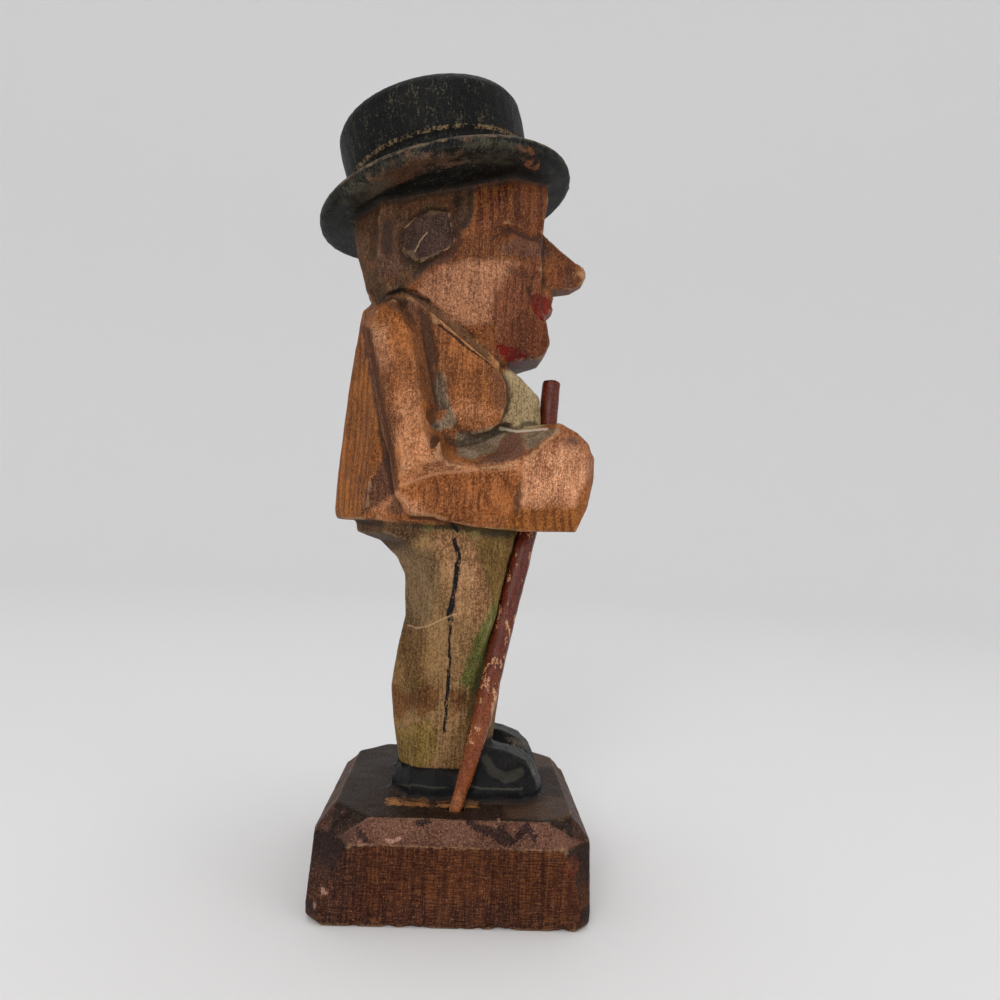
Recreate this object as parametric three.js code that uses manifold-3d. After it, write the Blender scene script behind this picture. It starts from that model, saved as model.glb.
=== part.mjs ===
// A small comic villager carved from one block of pine: top hat, coat, trousers, shoes and
// plinth are all the same piece of wood. A thin twig passes down through his joined fists as a
// walking stick and stands in a shallow socket in the plinth.
// Millimetres. +X is the way he faces, +Y his left hand side, +Z up. The origin is the centre
// of the plinth's underside.
import * as THREE from 'three';
import { mergeVertices } from 'three/addons/utils/BufferGeometryUtils.js';
import Module from 'manifold-3d';

const wasm = await Module();
wasm.setup();

// Driving dimensions
const GAP = 0.3; // clearance left between the stick and the carving
const SLIVER = 0.02; // facets narrower than this are merged with their neighbours
const PLINTH = {
  length: 43, width: 44.4, height: 15.2, chamferHeight: 3.1, chamferInset: 2.7, footRound: 2.6,
};
const SHOE = { heelX: -10.9, toeX: 15, innerY: 1.1, outerY: 12.3, top: 23.4 };
const LEG = { cuffZ: 20.6, kneeZ: 44.5, hemZ: 61.5, slotHalf: 1.3, slotTop: 47 };
const COAT = { hemZ: 60.2, half: 13.4 };
const ARM = { outerY: 17.9, elbowZ: 64.5, top: 78.2, frontX: 21.6, cuffX: 8.4 };
const HOLLOW = { rise: 33, edgeY: 15.6 };
const HEAD = { half: 12.2, hairStep: 0.7 };
const HAT = { x: -6.5, z: 117, tilt: 15, brim: 23.2, crown: 16.9, height: 17.4, sides: 44 };
const STICK = { hand: 1.68, middle: 1.75, tip: 0.95, sides: 14, steps: 30, tipDepth: 1.4 };

const v = (x, y, z) => new THREE.Vector3(x, y, z);

// Turning a three.js geometry into a solid that can be joined and cut, and back.
function solidOf(geometry) {
  const plain = geometry.clone();
  plain.deleteAttribute('normal');
  plain.deleteAttribute('uv');
  const welded = mergeVertices(plain, 1e-5);
  const vertProperties = new Float32Array(welded.attributes.position.array);
  const triVerts = new Uint32Array(welded.index.array);
  return new wasm.Manifold(new wasm.Mesh({ numProp: 3, vertProperties, triVerts }));
}

function geometryOf(solid) {
  const { numProp, vertProperties, triVerts } = solid.getMesh();
  const positions = new Float32Array((vertProperties.length / numProp) * 3);
  for (let i = 0; i < positions.length / 3; i += 1) {
    positions.set(vertProperties.subarray(i * numProp, i * numProp + 3), i * 3);
  }
  const geometry = new THREE.BufferGeometry();
  geometry.setAttribute('position', new THREE.BufferAttribute(positions, 3));
  geometry.setIndex(new THREE.BufferAttribute(new Uint32Array(triVerts), 1));
  geometry.computeVertexNormals();
  return geometry;
}

// Prisms sawn from an outline: seen from the side (X, Z), the front (Y, Z) or above (X, Y).
function prism(outline, depthFrom, depthTo, across, up, depth) {
  const shape = new THREE.Shape(outline.map(([a, b]) => new THREE.Vector2(a, b)));
  const geometry = new THREE.ExtrudeGeometry(shape, {
    depth: depthTo - depthFrom, bevelEnabled: false, curveSegments: 12,
  });
  geometry.translate(0, 0, depthFrom);
  geometry.applyMatrix4(new THREE.Matrix4().makeBasis(across, up, depth));
  return solidOf(geometry);
}
const sideSawn = (outline, yFrom, yTo) => prism(outline, -yTo, -yFrom, v(1, 0, 0), v(0, 0, 1), v(0, -1, 0));
const frontSawn = (outline, xFrom, xTo) => prism(outline, xFrom, xTo, v(0, 1, 0), v(0, 0, 1), v(1, 0, 0));
const planSawn = (outline, zFrom, zTo) => prism(outline, zFrom, zTo, v(1, 0, 0), v(0, 1, 0), v(0, 0, 1));

// A closed skin through rings of points that all have the same count, listed anticlockwise from above.
function loft(rings) {
  const count = rings[0].length;
  const positions = rings.flat().flatMap((p) => [p.x, p.y, p.z]);
  const index = [];
  for (let level = 0; level < rings.length - 1; level += 1) {
    for (let i = 0; i < count; i += 1) {
      const a = level * count + i;
      const b = level * count + ((i + 1) % count);
      index.push(a, b, b + count, a, b + count, a + count);
    }
  }
  const last = (rings.length - 1) * count;
  for (let i = 1; i < count - 1; i += 1) {
    index.push(0, i + 1, i, last, last + i, last + i + 1);
  }
  const geometry = new THREE.BufferGeometry();
  geometry.setAttribute('position', new THREE.Float32BufferAttribute(positions, 3));
  geometry.setIndex(index);
  return solidOf(geometry);
}

// An eight-cornered section: a rectangle from back to front with its corners pared off.
function section({ z, back, front, half, backCut, frontCut }) {
  const [bx, by] = backCut;
  const [fx, fy] = frontCut;
  const right = [[front, fy - half], [front - fx, -half], [back + bx, -half], [back, by - half]];
  const left = right.map(([x, y]) => [x, -y]).reverse();
  return [...left, ...right].map(([x, y]) => v(x, y, z)).reverse();
}
const carve = (levels) => loft(levels.map(section));

// One straight knife cut: everything beyond the plane through the point goes.
const REACH = 120;
function pare(solid, point, normal) {
  const waste = new THREE.BoxGeometry(REACH, REACH, REACH).translate(0, 0, REACH / 2);
  waste.applyQuaternion(new THREE.Quaternion().setFromUnitVectors(v(0, 0, 1), normal.clone().normalize()));
  waste.translate(point.x, point.y, point.z);
  return solid.subtract(solidOf(waste));
}

// The same knife cut through three points, on the side away from the point kept.
function pareThrough(solid, a, b, c, kept) {
  const normal = b.clone().sub(a).cross(c.clone().sub(a)).normalize();
  if (normal.dot(kept.clone().sub(a)) > 0) normal.negate();
  return pare(solid, a, normal);
}
const other = (p) => v(p.x, -p.y, p.z);
function pareBoth(solid, a, b, c, kept) {
  const near = pareThrough(solid, a, b, c, kept);
  return pareThrough(near, other(a), other(b), other(c), other(kept));
}

// A rounded gouge: a ball stretched to three radii, or a round bar along a line.
function ball(centre, radii, sides = 20) {
  const geometry = new THREE.SphereGeometry(1, sides, sides / 2);
  geometry.scale(radii.x, radii.y, radii.z).translate(centre.x, centre.y, centre.z);
  return solidOf(geometry);
}
function bar(from, to, radius, sides = 28) {
  const along = to.clone().sub(from);
  const geometry = new THREE.CylinderGeometry(radius, radius, along.length(), sides);
  geometry.applyQuaternion(new THREE.Quaternion().setFromUnitVectors(v(0, 1, 0), along.clone().normalize()));
  const middle = from.clone().add(to).multiplyScalar(0.5);
  geometry.translate(middle.x, middle.y, middle.z);
  return solidOf(geometry);
}

// The wood is solid right through, so only the largest closed skin counts.
const outerSkin = (solid) => solid.decompose().sort((a, b) => b.volume() - a.volume())[0];

const mirrored = (solid) => solid.mirror([0, 1, 0]);
const both = (solid) => solid.add(mirrored(solid));
const joined = (solids) => solids.reduce((all, next) => all.add(next));

// The plinth: a sawn block whose upright corners are pared away more towards the top.
function plinth() {
  const { length, width, height, chamferHeight, chamferInset, footRound } = PLINTH;
  const cornerCuts = [4.2, 5.2, 5.2, 6.1]; // at the top: front right, front left, back left, back right
  const sawnCorner = 1.2;
  const ring = (z, inset, share) => {
    const [fr, fl, bl, br] = cornerCuts.map((cut) => sawnCorner + (cut - sawnCorner) * share);
    const x = length / 2 - inset;
    const y = width / 2 - inset;
    return [
      v(x - fr, -y, z), v(x, fr - y, z), v(x, y - fl, z), v(x - fl, y, z),
      v(bl - x, y, z), v(-x, y - bl, z), v(-x, br - y, z), v(br - x, -y, z),
    ];
  };
  return loft([
    ring(0, 0.2, 0.34), ring(footRound * 0.35, 0, 0.2), ring(footRound, 0, 0.12),
    ring(height - chamferHeight, 0, 1), ring(height, chamferInset, 1),
  ]);
}

// A shoe flares down to its sole. It has a pointed heel, a narrow waist and a blunt toe cap.
function shoe() {
  const { heelX, toeX, innerY, outerY, top } = SHOE;
  const floor = PLINTH.height;
  const width = outerY - innerY;
  const plan = (z, grow) => [
    [heelX - grow, innerY + width * 0.45], [heelX + 2.8, innerY - grow], [toeX - 4.5, innerY - grow],
    [toeX - 1 + grow, innerY + 2], [toeX + grow, innerY + width * 0.45], [toeX - 1.2 + grow, outerY - 2.6],
    [toeX - 4.2 + grow, outerY - 0.2 + grow], [3.5, outerY + 0.4 + grow], [0.2, outerY - 0.7 + grow],
    [-3.5, outerY + 0.1 + grow], [heelX + 3.4, outerY - 0.9 + grow],
  ].map(([x, y]) => v(x, y, z));
  const flared = loft([
    plan(floor - 1, -0.5), plan(floor + 0.5, 0), plan(floor + 1.6, 0.1), plan(floor + 3.6, -0.7),
    plan(floor + 5.8, -1.9), plan(top + 1.5, -3.4),
  ]);
  const side = [
    [heelX - 1, floor - 1], [toeX + 1, floor - 1], [toeX + 1, floor + 3.4], [toeX - 0.6, floor + 4.9],
    [toeX - 2.6, floor + 6], [toeX - 6.5, floor + 7.6], [5, top], [3, top + 1], [heelX + 5, top],
    [heelX + 2.2, floor + 5.6], [heelX - 1, floor + 1.6],
  ];
  const body = flared.intersect(sideSawn(side, innerY - 1, outerY + 2));
  const instep = ball(v(8, outerY + 0.4, floor + 8.6), v(6.4, 3.4, 5.4), 20);
  const waist = ball(v(-1.4, outerY + 2, floor + 4.4), v(4.6, 2.6, 2.2), 16);
  return body.subtract(joined([instep, waist]));
}

// Both trouser legs come from one block, parted by a narrow wedge and grooved up to the seat.
function trousers() {
  const { cuffZ, kneeZ, hemZ, slotHalf, slotTop } = LEG;
  const legs = carve([
    { z: cuffZ - 4, back: -8.4, front: 4.6, half: 10.2, backCut: [3.2, 3], frontCut: [4.2, 4.4] },
    { z: cuffZ - 0.6, back: -9.4, front: 5.4, half: 11, backCut: [3.2, 3], frontCut: [4.2, 4.4] },
    { z: cuffZ, back: -9.6, front: 5.6, half: 11.2, backCut: [3.2, 3], frontCut: [4.2, 4.4] },
    { z: cuffZ + 6, back: -10.8, front: 6.4, half: 11.4, backCut: [3.8, 3.2], frontCut: [4.8, 5] },
    { z: 32.5, back: -11.6, front: 7.0, half: 11.4, backCut: [4.6, 3.6], frontCut: [5.2, 5.6] },
    { z: 38.5, back: -11.0, front: 7.4, half: 11.2, backCut: [4.6, 3.8], frontCut: [4.4, 5.6] },
    { z: kneeZ, back: -9.9, front: 8.3, half: 11.5, backCut: [4.2, 4], frontCut: [3.6, 5.4] },
    { z: 51.4, back: -10.4, front: 9.4, half: 11.8, backCut: [4.8, 4.4], frontCut: [5.8, 6] },
    { z: 54.3, back: -11.9, front: 9.6, half: 12, backCut: [5.2, 4.6], frontCut: [7, 6.2] },
    { z: 56.9, back: -14.8, front: 9.9, half: 12.4, backCut: [5.4, 4.8], frontCut: [8, 6.4] },
    { z: 58.2, back: -18.9, front: 10, half: 12.6, backCut: [5.4, 4.8], frontCut: [9, 6.6] },
    { z: hemZ, back: -19.2, front: 10, half: 12.7, backCut: [5.4, 4.8], frontCut: [9, 6.6] },
  ]);
  const parting = frontSawn([[-slotHalf, 0], [slotHalf, 0], [0, slotTop]], -40, 40);
  const foreGroove = planSawn([[4.2, 0], [14, -2.6], [14, 2.6]], slotTop - 18, 57);
  const hindGroove = planSawn([[-7.4, 0], [-16, 2.8], [-16, -2.8]], slotTop - 18, 53.5);
  return legs.subtract(joined([parting, foreGroove, hindGroove]));
}

// The coat's body, narrow at the spine and the front edges, with a slit at the back of its skirt.
function coat() {
  const { hemZ, half } = COAT;
  const body = carve([
    { z: hemZ, back: -22.9, front: 5, half, backCut: [6.6, 8.2], frontCut: [5, 4] },
    { z: hemZ + 1.2, back: -23.3, front: 5, half, backCut: [6.6, 8.2], frontCut: [5, 4] },
    { z: 66, back: -23.1, front: 5.4, half, backCut: [6.6, 8.2], frontCut: [5, 4] },
    { z: 74, back: -22.7, front: 2, half: half - 0.8, backCut: [6.6, 8], frontCut: [8, 5] },
    { z: 78, back: -22.4, front: 1, half: half - 1.4, backCut: [6.5, 7.6], frontCut: [4.6, 3.6] },
    { z: 82, back: -22.2, front: 0, half: half - 1.6, backCut: [6.4, 7.4], frontCut: [4.6, 3.4] },
    { z: 90, back: -21.4, front: 0, half: half - 2, backCut: [6, 6.8], frontCut: [6, 4] },
    { z: 97, back: -20.4, front: -3, half: half - 2.4, backCut: [5.4, 6], frontCut: [7, 4.4] },
    { z: 99, back: -18.2, front: -6, half: half - 4.2, backCut: [4, 4], frontCut: [4, 4] },
  ]);
  const vent = planSawn([[-22.4, 0], [-26, 1], [-26, -1]], hemZ - 2, 77);
  return pareThrough(body, v(-10, 0, 96.7), v(4.1, 0, 86.7), v(4.1, 5, 86.7), v(0, 0, 60)).subtract(vent);
}

// A coat front hangs over the chest like a broad tongue, rounded at its lower end.
function coatFront() {
  const outline = [
    [-12, 98], [-12, 86], [-5.2, 84], [-3.4, 80.4], [-2.9, 78.5], [-1.7, 76.5], [0.6, 75.7], [2.9, 76.5],
    [4.8, 78.1], [5.7, 81.5], [5.4, 84.6], [4.1, 86.9], [-9.6, 96.6],
  ];
  let panel = sideSawn(outline, -12.9, -4);
  panel = pareThrough(panel, v(-6, -12.4, 84), v(5.6, -9.6, 84), v(-5, -12.1, 92), v(0, 0, 84));
  panel = pareThrough(panel, v(3.2, -10.4, 84), v(5.9, -8.2, 84), v(3, -9.9, 90), v(0, 0, 84));
  panel = pareThrough(panel, v(-3, -11.8, 78.8), v(4.8, -9.4, 79.4), v(0.8, -9.4, 75.6), v(0, 0, 84));
  return panel;
}

// The neck fills the space between the coat, the shirt and the jaw.
function neck() {
  return sideSawn([[-15, 90], [-4, 80], [3.6, 80], [4, 88.4], [-14, 99.8]], -9.6, 9.6);
}

// The shirt front swells out between the coat's edges and ends just behind the stick.
function shirt() {
  const profile = [[-4, 78.2], [12.1, 78.2], [12.2, 79.6], [11.7, 83.6], [8, 86.8], [4.4, 89], [-4, 92]];
  const body = sideSawn(profile, -9, 9);
  return pareBoth(body, v(3.6, -8.6, 80), v(12.2, -4, 80), v(5, -7, 88), v(0, 0, 80));
}

// A thin collar lies between the jaw and the coat and follows the slant of the jaw.
function collar() {
  const profile = [
    [-18.4, 99.8], [3.9, 85.8], [5.2, 86.8], [4.9, 88.2], [-3, 95.2], [-10.8, 99.8], [-16.8, 102],
  ];
  const plan = [[-18.6, -6], [-14, -10.4], [-4, -10.5], [3.8, -7.4], [5.4, -4.6]];
  const outline = [...plan, ...plan.map(([x, y]) => [x, -y]).reverse()];
  return sideSawn(profile, -12, 12).intersect(planSawn(outline, 80, 104));
}

// An upper arm is a six-sided beam from the shoulder down to the elbow, deepest at the elbow.
function upperArm() {
  const levels = [
    { z: 61.2, back: -10.4, front: -4, inner: 0, outer: 16 },
    { z: 64.6, back: -12.1, front: -3.4, inner: 0, outer: 17.4 },
    { z: 66.6, back: -12.4, front: -4, inner: -1, outer: 17.9 },
    { z: 70.6, back: -13.2, front: -6.2, inner: -4, outer: 17.9 },
    { z: 75.2, back: -14.8, front: -8, inner: -5.2, outer: 17.6 },
    { z: 80.6, back: -16.1, front: -8.8, inner: -5.9, outer: 17.2 },
    { z: 84.6, back: -17, front: -9.6, inner: -6.2, outer: 16.8 },
    { z: 88.2, back: -18, front: -10.6, inner: -6.6, outer: 16.3 },
    { z: 91.4, back: -19.3, front: -11.6, inner: -7.4, outer: 15.6 },
    { z: 94.8, back: -18.5, front: -13, inner: -8.8, outer: 14.2 },
    { z: 97.3, back: -16.4, front: -14, inner: -11.4, outer: 12.1 },
  ];
  const deep = -7;
  return loft(levels.map(({ z, back, front, inner, outer }) => [
    v(back, deep, z), v(back, 2.2 - outer, z), v(back + 2, -outer, z), v(front, -outer, z),
    v(inner, 5 - outer, z), v(inner, deep, z),
  ]));
}

// Forearms and fists are one mass that narrows towards the stick. The sleeves' lower half is pared inwards.
function sleevesAndFists() {
  const { outerY, elbowZ, top, frontX, cuffX } = ARM;
  const profile = [
    [-11.6, elbowZ + 1], [-10.6, 63.4], [-8.2, 62.2], [-4.5, 60.7], [0.3, 59.9], [cuffX, 59.5], [18.7, 59.9],
    [20.4, 64.4], [frontX, 69.4], [frontX - 0.1, 73.2], [19.9, 75.6], [18, 77], [14.6, top], [-3, top],
    [-6, 72], [-11, 68],
  ];
  const half = [
    [-11.6, -outerY], [-4, -outerY], [cuffX, 2.2 - outerY], [cuffX + 0.6, 1.8 - outerY], [15.4, -12.8],
    [19.9, -9.8], [21.7, -6.6],
  ];
  const outline = [...half, ...half.map(([x, y]) => [x, -y]).reverse()];
  const mass = sideSawn(profile, -outerY, outerY).intersect(planSawn(outline, 50, 85));
  const sleeves = mass.intersect(planSawn([[-20, -30], [cuffX, -30], [cuffX, 30], [-20, 30]], 50, 85));
  const fists = mass.subtract(sleeves);
  const paredSleeves = pareBoth(both(upperArm()).add(sleeves), v(-12, -outerY, 66.2),
    v(cuffX, 2 - outerY, 69.4), v(0, 3.4 - outerY, 60), v(0, 0, 68));
  const paredFists = pareBoth(fists, v(cuffX, 2.2 - outerY, 64.2), v(18, -10.6, 64.4), v(12, -11.4, 59.6),
    v(0, 0, 68));
  return pareBoth(paredSleeves.add(paredFists), v(14, -12.8, 77.4), v(20.6, -7.8, 75.4), v(17, -12.8, 73),
    v(0, 0, 68));
}

// The hollow behind each forearm climbs from its near edge to the flat between the wrists.
function hollow() {
  const { rise, edgeY } = HOLLOW;
  const slope = Math.tan(THREE.MathUtils.degToRad(rise));
  const edge = [
    [-5.4, 86], [-5.1, 75], [-3.6, 70.9], [0.6, 69.9], [4.7, 70.4], [8.6, 71.8], [11.4, 73.5], [14.6, 76.4],
    [18, 86],
  ].map(([x, z]) => new THREE.Vector2(x, z + edgeY * slope));
  const outline = new THREE.SplineCurve(edge).getPoints(28).map((p) => [p.x, p.y]);
  return prism(outline, 0.4, 22, v(1, 0, 0), v(0, 0, 1), v(0, -1, -slope));
}

// Both arms, with a long lens-shaped cut along each sleeve and a nick in the crook of the elbow.
function arms() {
  const lensTilt = new THREE.Matrix4().makeRotationY(THREE.MathUtils.degToRad(-9));
  const lensForm = new THREE.SphereGeometry(1, 28, 14).scale(17.4, 4, 6).applyMatrix4(lensTilt);
  const lens = solidOf(lensForm.translate(-0.9, -ARM.outerY - 1.3, 65.2));
  const nick = ball(v(-4.4, -14.6, 77.9), v(3.3, 4.2, 2.7), 18);
  const partingOfFists = planSawn([[17.8, 0], [23, -1.7], [23, 1.7]], 50, 90);
  return sleevesAndFists().subtract(both(joined([hollow(), lens, nick])))
    .subtract(partingOfFists);
}

// The head, before the nose and lips are added, is cut off along the nape and the slant of the jaw.
function skull() {
  const { half, hairStep } = HEAD;
  let block = carve([
    { z: 86, back: -10, front: 9.6, half: 8, backCut: [3, 3], frontCut: [6.4, 4.4] },
    { z: 90.2, back: -14, front: 11.4, half: 9.6, backCut: [3, 3], frontCut: [8.4, 5.6] },
    { z: 93.4, back: -16.4, front: 13.2, half: 10.6, backCut: [3, 3], frontCut: [10, 6.6] },
    { z: 97.9, back: -18.4, front: 12.1, half: 11.4, backCut: [3.4, 3.8], frontCut: [9.4, 6.8] },
    { z: 99.6, back: -19.6, front: 11.0, half: 11.6, backCut: [3.8, 4.2], frontCut: [8.4, 6.6] },
    { z: 104, back: -20.9, front: 10.9, half: half - 0.1, backCut: [4.4, 4.8], frontCut: [8.8, 6.4] },
    { z: 106.4, back: -21.7, front: 10.8, half, backCut: [4.8, 5.2], frontCut: [5.2, 4.2] },
    { z: 109, back: -22.6, front: 10.6, half, backCut: [5.4, 5.6], frontCut: [8, 5.6] },
    { z: 114.6, back: -23.1, front: 10.9, half: half - 0.3, backCut: [6, 6], frontCut: [7, 5.6] },
    { z: 118.5, back: -22.5, front: 11.5, half: half - 0.7, backCut: [6.4, 6], frontCut: [6.6, 5.2] },
    { z: 125, back: -21, front: 10.4, half: half - 1.6, backCut: [6, 6], frontCut: [6, 5] },
  ]);
  const belowJaw = [
    [-26, 96.4], [-17.6, 97.3], [-13, 99.4], [-10.8, 99.2], [-3.1, 94.6], [4.7, 87.8], [4.7, 80], [-26, 80],
  ];
  block = block.subtract(sideSawn(belowJaw, -20, 20));
  block = pareThrough(block, v(4.2, 0, 88.5), v(12.2, 0, 90.6), v(4.2, 5, 88.5), v(0, 0, 110));
  const lean = THREE.MathUtils.degToRad(HAT.tilt);
  block = pare(block, v(HAT.x, 0, HAT.z + 1.4), v(-Math.sin(lean), 0, Math.cos(lean)));
  // The face lies a little lower than the hair, with a step along the hairline.
  const face = [
    [-2.6, 124], [-2.7, 113], [-4.7, 109.4], [-8.7, 104.8], [-13, 100.4], [-13, 84], [20, 84], [20, 124],
  ];
  const skim = sideSawn(face, -20, -half + hairStep + 0.1).add(sideSawn(face, half - hairStep - 0.1, 20));
  block = block.subtract(skim);
  // Under the brow a shallow ledge is cut out for the eye, from the side of the head to the nose.
  const reach = 8;
  const ledge = (x, apexY, z) => [
    v(x, apexY - reach, z - reach * 4), v(x, apexY, z), v(x, apexY - reach, z + reach * 0.3),
  ];
  const eye = loft([
    ledge(0, -11.5, 110.8), ledge(3, -10.7, 111.1), ledge(7.4, -7.9, 111.3), ledge(12, -4.6, 112),
  ]);
  const mouthCorner = bar(v(8.4, -7.5, 102.4), v(11.6, -5.4, 97.2), 0.8, 6);
  return block.subtract(both(joined([eye, mouthCorner, hairGouges()])));
}

// A long nose that ends in a round knob.
function nose() {
  const profile = [
    [8, 114.8], [11.3, 114], [14.2, 111.4], [17.2, 109.2], [18.9, 108.4], [19.4, 106.8], [18.8, 105.4],
    [16.6, 104], [13.4, 103.8], [8, 103],
  ];
  const plan = [[7, -6.2], [11.2, -5.4], [13, -4.2], [14.6, -3], [16.2, -2.8], [18.6, -2.5], [19.8, -1.3]];
  const outline = [...plan, ...plan.map(([x, y]) => [x, -y]).reverse()];
  let ridge = sideSawn(profile, -7, 7).intersect(planSawn(outline, 100, 118));
  ridge = pareBoth(ridge, v(11, -1.5, 115), v(18.6, -1.6, 109.2), v(12.4, -4.6, 106.6), v(10, 0, 106));
  return pareBoth(ridge, v(12, -3.2, 103.6), v(19, -1.5, 105.4), v(15, -3.1, 105.4), v(12, 0, 108));
}

// Full lips, parted by one cut.
function lips() {
  const profile = [
    [8, 98.4], [12.1, 98.7], [13.7, 100], [13.2, 101.1], [13.7, 102.3], [12.6, 103.8], [8, 104],
  ];
  const body = sideSawn(profile, -4.6, 4.6);
  return pareBoth(body, v(14, -1.6, 101), v(10.4, -4.8, 101), v(14, -1.6, 99), v(8, 0, 101));
}

// Each ear is a leaf with straight-cut sides, just proud of the hair, and two broad cuts meet along it.
function ear() {
  const leaf = [
    [-13.9, 106.9], [-13.4, 109], [-11.4, 111], [-8.9, 112.3], [-5.7, 112.3], [-5.2, 109.9], [-4.3, 108],
    [-5.6, 106.1], [-8.8, 104.1], [-10.9, 103.4], [-12.8, 104.8],
  ];
  const outer = -HEAD.half - 1.2;
  const middle = v(-9.7, outer + 1.9, 108.9);
  const hind = pareThrough(sideSawn(leaf, outer, outer + 3), v(-8.4, outer, 111.6), v(-11.2, outer, 105.2),
    v(-14.2, outer + 0.9, 108), middle);
  return pareThrough(hind, v(-8.4, outer, 111.6), v(-11.2, outer, 105.2), v(-4.8, outer + 1, 108.6), middle);
}

// Locks of hair: broad upright gouge cuts round the back of the head and in front of the ear.
function hairGouges() {
  const side = -HEAD.half;
  const locks = [
    { at: v(-16.2, side - 2.6, 107.6), radii: v(2.3, 4, 6.4) },
    { at: v(-19.6, side - 0.4, 107.4), radii: v(2.4, 4, 6.4) },
    { at: v(-4.6, side - 3, 115.2), radii: v(2, 3.8, 4.6) },
    { at: v(-9.4, side - 3, 116.6), radii: v(3.4, 3.8, 3.6) },
    { at: v(-24.8, -5.4, 107.4), radii: v(4, 2.7, 6.4) },
    { at: v(-25, -0.2, 106.4), radii: v(4, 2.6, 6.8) },
  ];
  return joined(locks.map(({ at, radii }) => ball(at, radii, 18)));
}

// The hat is turned about its own axis and set leaning back on the head.
function hat() {
  const { x, z, tilt, brim, crown, height, sides } = HAT;
  const profile = [
    [0, -0.4], [15, -0.2], [brim - 1, 0], [brim, 0.7], [brim - 0.1, 2.1], [brim - 1.1, 2.9],
    [brim - 2.6, 2.7], [crown - 0.4, 2.5], [crown - 1.1, 3.1], [crown - 0.8, 4.4], [crown - 0.2, 9.5],
    [crown, 13.4], [crown - 0.1, height - 1.8], [crown - 0.8, height - 0.6], [crown - 2, height],
    [0, height + 0.2],
  ].map(([r, h]) => new THREE.Vector2(r, h));
  const geometry = new THREE.LatheGeometry(profile, sides);
  geometry.rotateX(Math.PI / 2).rotateY(THREE.MathUtils.degToRad(-tilt)).translate(x, 0, z);
  return solidOf(geometry);
}

// The stick's own line, from the tip in the plinth up through the fists, with the twig's slight bend.
const stickLine = new THREE.CatmullRomCurve3([
  v(-0.1, -15.2, PLINTH.height - STICK.tipDepth), v(3.1, -13, 25.5), v(7.2, -9, 45), v(10.5, -5.7, 60),
  v(13.3, -1.9, 76), v(14, -0.2, 87.2),
]);

// A tube of varying radius along the line, grown by a clearance when it serves as the drill.
function stickSolid(grow) {
  const { hand, middle, tip, sides, steps } = STICK;
  const frames = stickLine.computeFrenetFrames(steps, false);
  const rings = [];
  for (let i = 0; i <= steps; i += 1) {
    const t = i / steps;
    const swell = Math.min(1, t / 0.32);
    const radius = tip + (middle - tip) * Math.sin((swell * Math.PI) / 2) + (hand - middle) * t + grow;
    const centre = stickLine.getPointAt(t);
    const reach = i === 0 ? -grow : 0;
    centre.addScaledVector(frames.tangents[i], reach);
    const ring = [];
    for (let k = 0; k < sides; k += 1) {
      const angle = (2 * Math.PI * k) / sides;
      ring.push(centre.clone()
        .addScaledVector(frames.normals[i], radius * Math.cos(angle))
        .addScaledVector(frames.binormals[i], radius * Math.sin(angle)));
    }
    rings.push(ring);
  }
  return loft(rings);
}

// A groove from the armpit to the crook of the elbow parts each sleeve from the chest.
const sleeveGroove = () => bar(v(-9.2, -13.2, 96), v(-4.9, -12.7, 79), 1.4, 5);

function villager() {
  const drill = stickSolid(GAP);
  const dressed = joined([
    plinth(), both(shoe()), trousers(), coat(), both(coatFront()), neck(), shirt(), collar(), arms(),
    skull(), nose(), lips(), both(ear()), hat(),
  ]);
  return outerSkin(dressed).subtract(joined([drill, both(sleeveGroove())])).simplify(SLIVER);
}

function meshOf(name, solid, colour, roughness) {
  const material = new THREE.MeshStandardMaterial({ color: colour, roughness, metalness: 0 });
  const mesh = new THREE.Mesh(geometryOf(solid), material);
  mesh.name = name;
  return mesh;
}

const figurine = new THREE.Group();
figurine.name = 'carved_villager_figurine';
figurine.add(meshOf('villager_on_plinth', villager(), 0x8a5a34, 0.55));
figurine.add(meshOf('walking_stick', stickSolid(0), 0x6a2a18, 0.4));

export default figurine;
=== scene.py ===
import math
import random

import bmesh
import bpy
import numpy as np
from mathutils import Matrix, Vector, bvhtree, kdtree, noise


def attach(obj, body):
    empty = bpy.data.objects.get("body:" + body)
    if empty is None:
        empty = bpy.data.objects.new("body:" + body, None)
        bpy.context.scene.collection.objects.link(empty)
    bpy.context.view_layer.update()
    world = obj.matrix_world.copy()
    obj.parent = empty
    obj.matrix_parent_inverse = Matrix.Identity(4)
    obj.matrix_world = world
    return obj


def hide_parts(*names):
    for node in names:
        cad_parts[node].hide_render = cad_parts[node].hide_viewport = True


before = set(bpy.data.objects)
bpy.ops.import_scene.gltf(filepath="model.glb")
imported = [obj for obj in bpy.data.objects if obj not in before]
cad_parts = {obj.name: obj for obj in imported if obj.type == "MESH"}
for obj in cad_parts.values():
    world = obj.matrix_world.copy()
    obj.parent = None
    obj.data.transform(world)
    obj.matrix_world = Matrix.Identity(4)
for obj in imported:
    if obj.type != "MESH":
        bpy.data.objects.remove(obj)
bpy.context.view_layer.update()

MM = 0.001
SEED = 5807
FIGURE_VOXEL = 0.56
STICK_VOXEL = 0.3

# Levels and shapes taken over from the CAD
PLINTH = {
    "length": 43.0, "width": 44.4, "top": 15.2, "chamfer_z": 12.1, "chamfer_inset": 2.7, "foot": 2.6,
    "sawn_corner": 1.2, "corners": {(1, -1): 4.2, (1, 1): 5.2, (-1, 1): 5.2, (-1, -1): 6.1},
}
CUFF_Z = 20.6
HEM_Z = {"back": 60.05, "front": 59.35}
FRONT_HEM_X = -4.0
NECK_Z = 86.0
HAT = {"centre": (-6.5, 0.0, 117.0), "tilt": 15.0, "crown": 16.9, "band_top": 7.3}

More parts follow.
